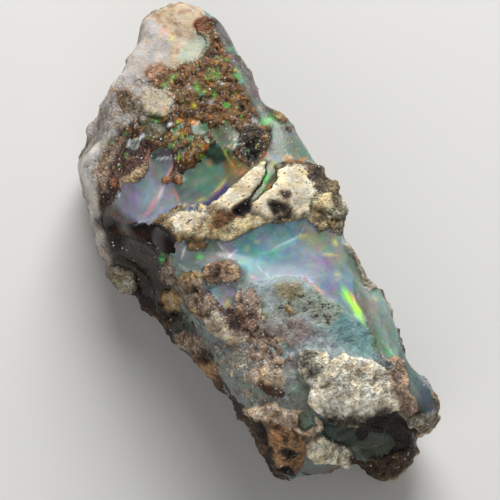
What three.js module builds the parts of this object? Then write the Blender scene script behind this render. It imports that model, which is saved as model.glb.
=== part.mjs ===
// Rough precious opal: one broken, elongated block of opal with its host rock still on it.
// Millimetres, +Z up. The stone lies on its flat back, with its narrow tip towards +Y.
import * as THREE from 'three';
import { ImprovedNoise } from 'three/addons/math/ImprovedNoise.js';
import { mergeVertices } from 'three/addons/utils/BufferGeometryUtils.js';

// ---- Driving dimensions ----
const LENGTH = 29.7;
const WIDTH = 12.6;
const HEIGHT = 9.7;
const CELL_COUNT = { across: 22, along: 52, up: 17 };
const EDGE_ROUNDING = 0.3;
const LUMP_BLEND = 0.4;
const CHIP_ROUNDING = 0.12;

// The front face is a low dome that sags towards the low end and falls towards the tip.
const FRONT = {
  top: 9.2,
  domeCentre: 0.8,
  dome: 0.045,
  sagFrom: -3,
  sag: 0.016,
  fallFrom: 3,
  fall: 0.26,
};
const FRONT_BEND_SHARE = 0.4;

// Noise bends every face, then roughens it.
const BENDS = [{ wavelength: 3.1, reach: 0.45 }, { wavelength: 1.5, reach: 0.3 }];
const GRAINS = [{ wavelength: 1.3, reach: 0.12 }, { wavelength: 0.8, reach: 0.1 }];
const BEND_SEEDS = { x: 7.3, y: 19.1, z: 31.7 };
const GRAIN_SEED = 4.6;

// The grid that wraps the stone is walked outwards from a core that follows the stone's long
// axis. Each table gives [distance along the stone, value].
const CORE_INSET = 2.2;
const CORE_CENTRE = [[-14.7, 1.0], [-6, 0.5], [2, -0.1], [6, 0.3], [10, 1.6], [14.7, 3.0]];
const CORE_WIDTH = [[-14.7, 0.7], [-6, 0.8], [2, 1.0], [6, 0.9], [10, 0.6], [14.7, 0.3]];
const CORE_FLOOR = [[-14.7, 2.6], [-6, 2.2], [8, 2.2], [14.7, 3.4]];
const CORE_CEILING = [[-14.7, 5.8], [-6, 7.0], [4, 7.2], [10, 5.6], [14.7, 4.4]];

// ---- Broken faces: a point on each, and the way it faces ----
// The stone is two blocks grown into each other: a crown that narrows to the tip, and a body.
const CROWN_FACES = [
  { name: 'leftWall', at: [-5.35, 3.8, 5.0], out: [-0.96, 0.18, 0.22] },
  { name: 'leftShoulder', at: [-3.85, 9.35, 5.0], out: [-0.78, 0.5, 0.36] },
  { name: 'lipWall', at: [-4.7, 1.8, 7.5], out: [-0.87, -0.47, 0.17] },
  { name: 'leftCrown', at: [-2.4, 9.0, 7.2], out: [-0.62, 0.22, 0.76] },
  { name: 'obliqueEnd', at: [-2.35, 11.3, 4.0], out: [-0.54, 0.8, 0.16] },
  { name: 'tipEnd', at: [3.8, 14.3, 5.2], out: [0.12, 0.98, 0.04] },
  { name: 'tipCorner', at: [5.4, 13.4, 5.0], out: [0.85, 0.5, 0.04] },
  { name: 'rightWall', at: [5.4, 9.0, 6.0], out: [1.0, -0.04, 0.05] },
  { name: 'innerEnd', at: [0.0, -1.0, 5.0], out: [0.05, -1.0, 0.0] },
  { name: 'tipKeel', at: [1.0, 10.5, 0.0], out: [0.0, 0.36, -0.93] },
  { name: 'leftKeel', at: [-5.6, 4.0, 1.6], out: [-0.7, 0.1, -0.7] },
  { name: 'rightKeel', at: [5.2, 6.0, 1.4], out: [0.7, 0.0, -0.7] },
];
const BODY_FACES = [
  { name: 'leftWall', at: [-4.25, -4.0, 6.0], out: [-0.99, -0.02, 0.06] },
  { name: 'lowLeftWall', at: [-4.1, -9.5, 6.0], out: [-0.96, -0.22, -0.1] },
  { name: 'leftKeel', at: [-4.1, -6.5, 3.4], out: [-0.76, -0.2, -0.6] },
  { name: 'rightBevel', at: [5.1, -5.0, 8.0], out: [0.85, -0.14, 0.5] },
  { name: 'rightWall', at: [5.5, -6.0, 5.5], out: [0.99, 0.0, 0.12] },
  { name: 'rightKeel', at: [5.2, -6.0, 1.4], out: [0.7, 0.0, -0.7] },
  { name: 'lowEnd', at: [0.0, -13.1, 5.0], out: [-0.12, -0.98, 0.06] },
  { name: 'lowLeftSlope', at: [-2.2, -12.0, 7.0], out: [-0.42, -0.62, 0.66] },
  { name: 'lowEndKeel', at: [0.0, -12.8, 1.2], out: [-0.1, -0.75, -0.66] },
  { name: 'innerEnd', at: [0.0, 2.0, 5.0], out: [0.0, 1.0, 0.0] },
];

// ---- Lumps of host rock and opal that stand out of the faces ----
const LUMPS = [
  { name: 'bandEnd', at: [4.9, -0.6, 7.4], radii: [1.3, 1.6, 1.8] },
  { name: 'knob', at: [5.0, 3.0, 6.6], radii: [1.25, 2.4, 1.7] },
  { name: 'rightSpur', at: [5.35, -6.5, 5.6], radii: [0.8, 0.6, 0.8] },
  { name: 'rightLobe', at: [4.65, -8.5, 5.1], radii: [1.35, 2.2, 1.9] },
  { name: 'fin', at: [4.7, -12.5, 4.4], radii: [1.05, 1.9, 1.9] },
  { name: 'finFoot', at: [5.2, -13.6, 2.9], radii: [0.7, 0.7, 0.8] },
  { name: 'footLump', at: [3.0, -13.4, 1.6], radii: [1.8, 1.5, 1.4] },
  { name: 'footTip', at: [2.6, -14.1, 1.1], radii: [1.2, 1.0, 1.0] },
  { name: 'cavityLump', at: [1.7, -13.5, 4.7], radii: [1.2, 1.1, 1.3] },
  { name: 'tipRight', at: [4.1, 12.7, 5.2], radii: [1.5, 1.6, 1.7] },
  { name: 'tipEdge', at: [4.5, 11.3, 4.7], radii: [1.3, 2.0, 1.8] },
  { name: 'tipLeft', at: [2.3, 12.6, 5.0], radii: [1.5, 1.7, 1.7] },
  { name: 'tipSide', at: [0.8, 12.0, 4.6], radii: [1.2, 1.2, 1.6] },
  { name: 'crustHigh', at: [-2.2, 10.0, 4.6], radii: [1.5, 1.3, 1.5] },
  { name: 'crustMiddle', at: [-3.7, 8.0, 4.4], radii: [1.1, 1.2, 1.6] },
  { name: 'crustLow', at: [-4.7, 6.3, 4.0], radii: [1.0, 1.2, 1.8] },
  { name: 'leftRim', at: [-5.6, 3.9, 3.6], radii: [0.8, 1.3, 1.8] },
  { name: 'leftKnob', at: [-5.35, 1.7, 2.8], radii: [0.95, 1.2, 1.3] },
  { name: 'leftPillar', at: [-3.9, -0.1, 6.0], radii: [0.6, 0.7, 1.5] },
  { name: 'leftShelf', at: [-4.3, -2.0, 3.4], radii: [0.9, 1.6, 1.3] },
  { name: 'leftBrow', at: [-4.1, -5.0, 4.4], radii: [0.6, 1.2, 1.1] },
  { name: 'lowLeftLump', at: [-3.1, -11.2, 5.2], radii: [1.0, 1.2, 1.5] },
  { name: 'lowCornerLump', at: [-2.7, -12.1, 3.6], radii: [1.1, 1.1, 1.6] },
  { name: 'lowCreamLump', at: [-0.9, -12.9, 4.6], radii: [1.3, 1.1, 1.5] },
];

// ---- Hollows in the host rock ----
const HOLLOWS = [
  { name: 'endCavity', at: [3.1, -14.2, 6.3], radii: [1.6, 1.2, 1.0] },
  { name: 'endPocket', at: [0.4, -13.8, 6.0], radii: [0.7, 0.8, 0.9] },
  { name: 'tipNotch', at: [-0.9, 12.2, 5.2], radii: [0.8, 0.9, 1.6] },
  { name: 'crustGap', at: [-3.3, 9.9, 5.6], radii: [0.5, 0.6, 1.2] },
  { name: 'lipShadow', at: [-4.7, -0.6, 5.6], radii: [0.8, 0.9, 1.6] },
  { name: 'lowerShadow', at: [-4.9, -3.6, 6.0], radii: [0.8, 1.0, 1.0] },
  { name: 'lobeCrease', at: [5.9, -10.8, 5.0], radii: [0.7, 0.5, 1.2] },
  { name: 'knobPit', at: [3.3, 3.1, 8.9], radii: [0.55, 0.55, 0.8] },
  { name: 'backScoopHigh', at: [-3.4, 5.6, -0.3], radii: [3.2, 2.6, 1.1] },
  { name: 'backScoopRight', at: [5.0, 3.4, -0.4], radii: [2.6, 3.4, 1.3] },
  { name: 'backScoopLow', at: [-2.6, -8.6, -0.4], radii: [2.4, 3.0, 1.3] },
  { name: 'backScoopFoot', at: [5.2, -8.4, -0.4], radii: [2.9, 2.6, 1.2] },
];

// ---- Shell-shaped chips, each the round of a ball that bites into a face ----
const CHIPS = [
  { name: 'rightTip', at: [9.2, 11.0, 5.4], radius: 3.6 },
  { name: 'rightCrown', at: [8.6, 7.2, 3.4], radius: 3.8 },
  { name: 'rightFlank', at: [8.5, -3.6, 4.2], radius: 3.4 },
  { name: 'rightScallop', at: [7.4, -5.4, 10.4], radius: 3.3 },
  { name: 'rightNick', at: [6.9, -9.8, 8.9], radius: 2.5 },
  { name: 'rightLow', at: [7.9, -11.0, 2.4], radius: 2.9 },
  { name: 'leftLow', at: [-8.0, -7.6, 5.0], radius: 4.2 },
  { name: 'leftFoot', at: [-7.0, -11.6, 2.0], radius: 3.4 },
  { name: 'leftMiddle', at: [-7.6, -3.0, 6.8], radius: 3.7 },
  { name: 'leftCrown', at: [-8.6, 6.2, 7.8], radius: 4.2 },
  { name: 'leftTip', at: [-3.8, 14.6, 2.6], radius: 3.9 },
  { name: 'endLeft', at: [-1.6, -16.6, 2.0], radius: 3.5 },
  { name: 'endRight', at: [2.0, -17.8, 4.0], radius: 3.9 },
  { name: 'tipTop', at: [2.8, 15.6, 9.6], radius: 3.7 },
];

// ---- Relief of the front face, drawn in plan ----
const UPPER_WINDOW = {
  depth: 0.55,
  shoulder: 0.7,
  outline: [
    [-5.9, 1.8], [-5.6, 3.8], [-4.3, 4.7], [-2.9, 5.2], [-1.9, 5.9], [-1.0, 5.4], [-0.6, 4.1],
    [1.5, 4.4], [2.5, 3.1], [1.2, 2.2], [-0.6, 1.3], [-1.9, 1.0], [-3.0, 1.5], [-4.4, 0.6],
  ],
};
const LOWER_WINDOW = {
  depth: 0.22,
  shoulder: 1.5,
  outline: [
    [-3.2, -1.1], [0.0, -1.5], [2.8, -1.8], [4.2, -2.6], [5.4, -3.8], [4.9, -6.5], [3.8, -9.6],
    [3.2, -7.4], [2.2, -5.7], [0.4, -4.3], [-0.4, -2.9], [-3.0, -2.0],
  ],
};
const LOW_CRUST = {
  rise: 0.45,
  shoulder: 0.6,
  outline: [
    [0.2, -9.2], [2.0, -9.8], [4.0, -11.2], [4.8, -12.6], [4.4, -14.0], [0.4, -13.8],
    [-0.8, -12.1], [-0.8, -10.6],
  ],
};
const RIDGES = [
  {
    name: 'band',
    rise: 0.18,
    halfWidth: 1.2,
    path: [[-3.7, 0.0], [-1.0, -0.1], [1.5, -0.2], [5.8, -1.0]],
  },
  {
    name: 'creamRibbon',
    rise: 0.4,
    halfWidth: 0.75,
    path: [[2.4, 2.2], [0.6, 1.0], [-1.5, 0.5], [-3.5, 0.6]],
  },
  { name: 'creamPatch', rise: 0.32, halfWidth: 1.15, path: [[3.1, -0.2], [4.2, 0.5]] },
  { name: 'channel', rise: -0.35, halfWidth: 0.4, path: [[3.4, 2.2], [2.4, 1.0], [1.9, 0.1]] },
];
const MOUNDS = [
  { name: 'leftCrust1', at: [-2.7, -2.6], radius: 0.8, rise: 0.4 },
  { name: 'leftCrust2', at: [-1.6, -2.7], radius: 0.7, rise: 0.35 },
  { name: 'leftCrust3', at: [-3.3, -4.1], radius: 0.9, rise: 0.4 },
  { name: 'leftCrust4', at: [-1.9, -4.4], radius: 1.0, rise: 0.4 },
  { name: 'leftCrust5', at: [-2.8, -6.0], radius: 1.1, rise: 0.4 },
  { name: 'leftCrust6', at: [-1.3, -6.4], radius: 0.7, rise: 0.25 },
  { name: 'leftCrust7', at: [-3.0, -8.4], radius: 1.0, rise: 0.35 },
  { name: 'leftCrust8', at: [-1.7, -9.6], radius: 1.0, rise: 0.3 },
  { name: 'leftCrust9', at: [-2.6, -11.3], radius: 0.9, rise: 0.35 },
  { name: 'creamBlock', at: [0.3, 8.6], radius: 0.8, rise: 0.35 },
  { name: 'crystalSeat', at: [-3.1, 7.0], radius: 0.8, rise: 0.3 },
  { name: 'upperKnob', at: [2.6, 5.6], radius: 0.9, rise: 0.3 },
  { name: 'middleKnob', at: [-1.6, 7.6], radius: 1.0, rise: 0.25 },
];

const noiseField = new ImprovedNoise();

/** Linear reading of a short table of [position, value] pairs. */
function readTable(table, position) {
  const last = table.length - 1;
  if (position <= table[0][0]) return table[0][1];
  if (position >= table[last][0]) return table[last][1];
  const i = table.findIndex(([start]) => start > position);
  const [from, a] = table[i - 1];
  const [to, b] = table[i];
  return THREE.MathUtils.lerp(a, b, (position - from) / (to - from));
}

/** Larger of two distances, with the crease between them rounded. */
function roundedMax(a, b, radius) {
  const overlap = Math.max(radius - Math.abs(a - b), 0) / radius;
  return Math.max(a, b) + overlap * overlap * radius * 0.25;
}

/** Smaller of two distances, with the crease between them filled. */
function roundedMin(a, b, radius) {
  return -roundedMax(-a, -b, radius);
}

/** Sum of smooth noises of the given wavelengths and reaches, with a pattern for each seed. */
function noiseAt(point, layers, seed) {
  return layers.reduce((sum, { wavelength, reach }) => {
    const [x, y, z] = point.clone().divideScalar(wavelength).toArray();
    return sum + reach * noiseField.noise(x + seed, y - seed, z + 2 * seed);
  }, 0);
}

/** Distance from a plan point to a path of straight stretches. */
function distanceToPath(path, x, y) {
  let nearest = Infinity;
  for (let i = 1; i < path.length; i++) {
    const [ax, ay] = path[i - 1];
    const [bx, by] = path[i];
    const along = ((x - ax) * (bx - ax) + (y - ay) * (by - ay)) / ((bx - ax) ** 2 + (by - ay) ** 2);
    const t = THREE.MathUtils.clamp(along, 0, 1);
    nearest = Math.min(nearest, Math.hypot(x - ax - t * (bx - ax), y - ay - t * (by - ay)));
  }
  return nearest;
}

/** Distance from a plan point to an outline, negative inside it. */
function distanceToOutline(outline, x, y) {
  let inside = false;
  for (let i = 0, j = outline.length - 1; i < outline.length; j = i++) {
    const [ax, ay] = outline[i];
    const [bx, by] = outline[j];
    if (ay > y !== by > y && x < ((bx - ax) * (y - ay)) / (by - ay) + ax) inside = !inside;
  }
  const distance = distanceToPath([...outline, outline[0]], x, y);
  return inside ? -distance : distance;
}

/** 1 inside an outline and 0 outside it, over a shoulder as wide as given. */
function cover({ outline, shoulder }, x, y) {
  return THREE.MathUtils.smoothstep(-distanceToOutline(outline, x, y), -shoulder / 2, shoulder / 2);
}

/** 1 on a ridge's or mound's top and 0 from a little past its half width. */
function swell(distance, halfWidth) {
  return 1 - THREE.MathUtils.smoothstep(distance, 0.45 * halfWidth, 1.35 * halfWidth);
}

/** Height of the front face over the resting plane. */
function frontHeight(x, y) {
  const sag = FRONT.sag * Math.max(0, FRONT.sagFrom - y) ** 2;
  const fall = FRONT.fall * Math.max(0, y - FRONT.fallFrom);
  const dome = FRONT.dome * (x - FRONT.domeCentre) ** 2;
  let height = FRONT.top - sag - fall - dome;
  height -= UPPER_WINDOW.depth * cover(UPPER_WINDOW, x, y);
  height -= LOWER_WINDOW.depth * cover(LOWER_WINDOW, x, y);
  height += LOW_CRUST.rise * cover(LOW_CRUST, x, y);
  for (const { path, rise, halfWidth } of RIDGES) {
    height += rise * swell(distanceToPath(path, x, y), halfWidth);
  }
  for (const { at, rise, radius } of MOUNDS) {
    height += rise * swell(Math.hypot(x - at[0], y - at[1]), radius);
  }
  return height;
}

function faceDistance({ at, out }, point) {
  const [nx, ny, nz] = out;
  const reach = (point.x - at[0]) * nx + (point.y - at[1]) * ny + (point.z - at[2]) * nz;
  return reach / Math.hypot(nx, ny, nz);
}

/** Near enough the distance to an ellipsoid, negative inside it. */
function lumpDistance({ at, radii }, point) {
  const scaled = [0, 1, 2].map((i) => (point.getComponent(i) - at[i]) / radii[i]);
  const steep = [0, 1, 2].map((i) => scaled[i] / radii[i]);
  const length = Math.hypot(...scaled);
  return (length * (length - 1)) / Math.max(Math.hypot(...steep), 1e-6);
}

/** Negative inside the stone, positive outside, and near enough the distance to its surface. */
function stone(point) {
  const shift = new THREE.Vector3();
  for (const axis of ['x', 'y', 'z']) shift[axis] = noiseAt(point, BENDS, BEND_SEEDS[axis]);
  const bent = point.clone().add(shift);
  const inPlan = point.clone().addScaledVector(shift, FRONT_BEND_SHARE);

  const front = point.z - frontHeight(inPlan.x, inPlan.y);
  const sides = (faces) =>
    faces.reduce((far, face) => roundedMax(far, faceDistance(face, bent), EDGE_ROUNDING), -HEIGHT);
  const outline = roundedMin(sides(CROWN_FACES), sides(BODY_FACES), EDGE_ROUNDING);
  let distance = roundedMax(outline, front, EDGE_ROUNDING);
  for (const lump of LUMPS) {
    distance = roundedMin(distance, lumpDistance(lump, bent), LUMP_BLEND);
  }
  for (const hollow of HOLLOWS) {
    distance = roundedMax(distance, -lumpDistance(hollow, bent), EDGE_ROUNDING);
  }
  for (const { at, radius } of CHIPS) {
    const bite = radius - bent.distanceTo(new THREE.Vector3(...at));
    distance = roundedMax(distance, bite, CHIP_ROUNDING);
  }
  return Math.max(distance + noiseAt(point, GRAINS, GRAIN_SEED), -point.z);
}

/** Walks out from inside the stone to its surface. */
function surfacePoint(core, direction) {
  const STEP = 0.2;
  const REACH = 12;
  const at = (travel) => core.clone().addScaledVector(direction, travel);
  let outside = STEP;
  while (outside < REACH && stone(at(outside)) < 0) outside += STEP;
  let inside = outside - STEP;
  for (let i = 0; i < 18; i++) {
    const middle = (inside + outside) / 2;
    if (stone(at(middle)) < 0) inside = middle;
    else outside = middle;
  }
  return at(outside);
}

/** The corners that share a triangle's side with each corner. */
function neighboursOf(geometry) {
  const corners = geometry.index.array;
  const neighbours = Array.from({ length: geometry.getAttribute('position').count }, () => new Set());
  for (let i = 0; i < corners.length; i += 3) {
    for (const [from, to] of [[0, 1], [1, 2], [2, 0]]) {
      neighbours[corners[i + from]].add(corners[i + to]);
      neighbours[corners[i + to]].add(corners[i + from]);
    }
  }
  return neighbours;
}

/** The way the stone's distance grows fastest at a point. */
function outwardAt(point) {
  const PROBE = 0.02;
  const slope = (x, y, z) => {
    const ahead = stone(new THREE.Vector3(point.x + x, point.y + y, point.z + z));
    const behind = stone(new THREE.Vector3(point.x - x, point.y - y, point.z - z));
    return (ahead - behind) / (2 * PROBE);
  };
  return new THREE.Vector3(slope(PROBE, 0, 0), slope(0, PROBE, 0), slope(0, 0, PROBE));
}

/** Evens out the triangles: each corner slides towards its neighbours and back to the surface. */
function relax(geometry) {
  const ROUNDS = 14;
  const STRIDE = 0.5;
  const LONGEST_RETURN = 0.3;
  const position = geometry.getAttribute('position');
  const neighbours = neighboursOf(geometry);
  const corner = new THREE.Vector3();
  const middle = new THREE.Vector3();
  for (let round = 0; round < ROUNDS; round++) {
    for (let i = 0; i < position.count; i++) {
      middle.set(0, 0, 0);
      for (const j of neighbours[i]) middle.add(corner.fromBufferAttribute(position, j));
      middle.divideScalar(neighbours[i].size);
      corner.fromBufferAttribute(position, i).lerp(middle, STRIDE);
      const outward = outwardAt(corner);
      const back = -stone(corner) / outward.lengthSq();
      corner.addScaledVector(outward, THREE.MathUtils.clamp(back, -LONGEST_RETURN, LONGEST_RETURN));
      position.setXYZ(i, corner.x, corner.y, Math.max(corner.z, 0));
    }
  }
}

function stoneGeometry() {
  const { across, along, up } = CELL_COUNT;
  const box = new THREE.BoxGeometry(WIDTH, LENGTH, HEIGHT, across, along, up);
  box.deleteAttribute('normal');
  box.deleteAttribute('uv');
  const geometry = mergeVertices(box, 1e-4);
  const inner = new THREE.Vector3(WIDTH, LENGTH, HEIGHT).multiplyScalar(0.5).subScalar(CORE_INSET);
  const position = geometry.getAttribute('position');
  const corner = new THREE.Vector3();
  for (let i = 0; i < position.count; i++) {
    corner.fromBufferAttribute(position, i);
    const core = corner.clone().clamp(inner.clone().negate(), inner);
    const direction = corner.clone().sub(core).normalize();
    core.x = core.x * readTable(CORE_WIDTH, core.y) + readTable(CORE_CENTRE, core.y);
    const lift = (core.z + inner.z) / (2 * inner.z);
    core.z = THREE.MathUtils.lerp(readTable(CORE_FLOOR, core.y), readTable(CORE_CEILING, core.y), lift);
    const { x, y, z } = surfacePoint(core, direction);
    position.setXYZ(i, x, y, z);
  }
  relax(geometry);
  flattenBack(position);
  geometry.computeVertexNormals();
  return geometry;
}

/** Puts what all but touches the resting plane on it. */
function flattenBack(position) {
  const TOUCHING = 0.02;
  for (let i = 0; i < position.count; i++) {
    if (position.getZ(i) < TOUCHING) position.setZ(i, 0);
  }
}

const opalWithHostRock = new THREE.MeshStandardMaterial({
  color: 0x949d94,
  roughness: 0.45,
  metalness: 0,
});
const stoneMesh = new THREE.Mesh(stoneGeometry(), opalWithHostRock);
stoneMesh.name = 'rough_opal';

const roughOpal = new THREE.Group();
roughOpal.add(stoneMesh);

export default roughOpal;
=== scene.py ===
import math
import random

import bmesh
import bpy
import numpy as np
from mathutils import Matrix, Vector, noise


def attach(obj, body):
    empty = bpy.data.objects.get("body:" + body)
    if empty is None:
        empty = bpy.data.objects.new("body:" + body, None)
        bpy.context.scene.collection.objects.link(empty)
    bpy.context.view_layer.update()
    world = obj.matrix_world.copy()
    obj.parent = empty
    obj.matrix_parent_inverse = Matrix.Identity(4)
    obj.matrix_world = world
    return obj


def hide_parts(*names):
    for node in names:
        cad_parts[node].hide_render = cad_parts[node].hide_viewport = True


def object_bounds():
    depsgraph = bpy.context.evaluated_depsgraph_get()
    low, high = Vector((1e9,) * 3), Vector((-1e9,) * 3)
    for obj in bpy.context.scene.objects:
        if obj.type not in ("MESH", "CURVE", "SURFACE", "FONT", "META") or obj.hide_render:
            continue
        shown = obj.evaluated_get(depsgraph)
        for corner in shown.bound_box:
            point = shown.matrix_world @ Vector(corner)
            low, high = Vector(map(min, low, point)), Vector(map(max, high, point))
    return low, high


# Rough precious opal: glassy milky opal in broken host rock, one natural piece.
# Lengths are in millimetres until they reach Blender, which works in metres.
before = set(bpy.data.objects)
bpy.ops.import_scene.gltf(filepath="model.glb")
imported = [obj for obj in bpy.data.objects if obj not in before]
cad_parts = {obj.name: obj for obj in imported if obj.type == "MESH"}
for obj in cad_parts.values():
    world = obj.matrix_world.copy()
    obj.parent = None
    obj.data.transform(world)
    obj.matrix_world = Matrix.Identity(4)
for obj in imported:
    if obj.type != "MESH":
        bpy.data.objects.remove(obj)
cad_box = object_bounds()

MM = 0.001

# ---- The eye, and the tipped plane that faces it ----
# The front's finishes and gleams are laid on this plane, with its middle at AIM: across, then up.
AIM = np.array([1.0, -0.5, 4.5])
EYE_DISTANCE = 220.0
EYE_TURN = math.radians(-27.0)
EYE_HEIGHT = math.radians(66.0)
PLANE_WIDTH = 27.78
SENSOR_WIDTH = 36.0
LOOK = np.array([
    -math.sin(EYE_TURN) * math.cos(EYE_HEIGHT),
    math.cos(EYE_TURN) * math.cos(EYE_HEIGHT),
    -math.sin(EYE_HEIGHT),
])
ACROSS = np.array([math.cos(EYE_TURN), math.sin(EYE_TURN), 0.0])
UPWARD = np.cross(ACROSS, LOOK)
EYE = AIM - EYE_DISTANCE * LOOK

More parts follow.
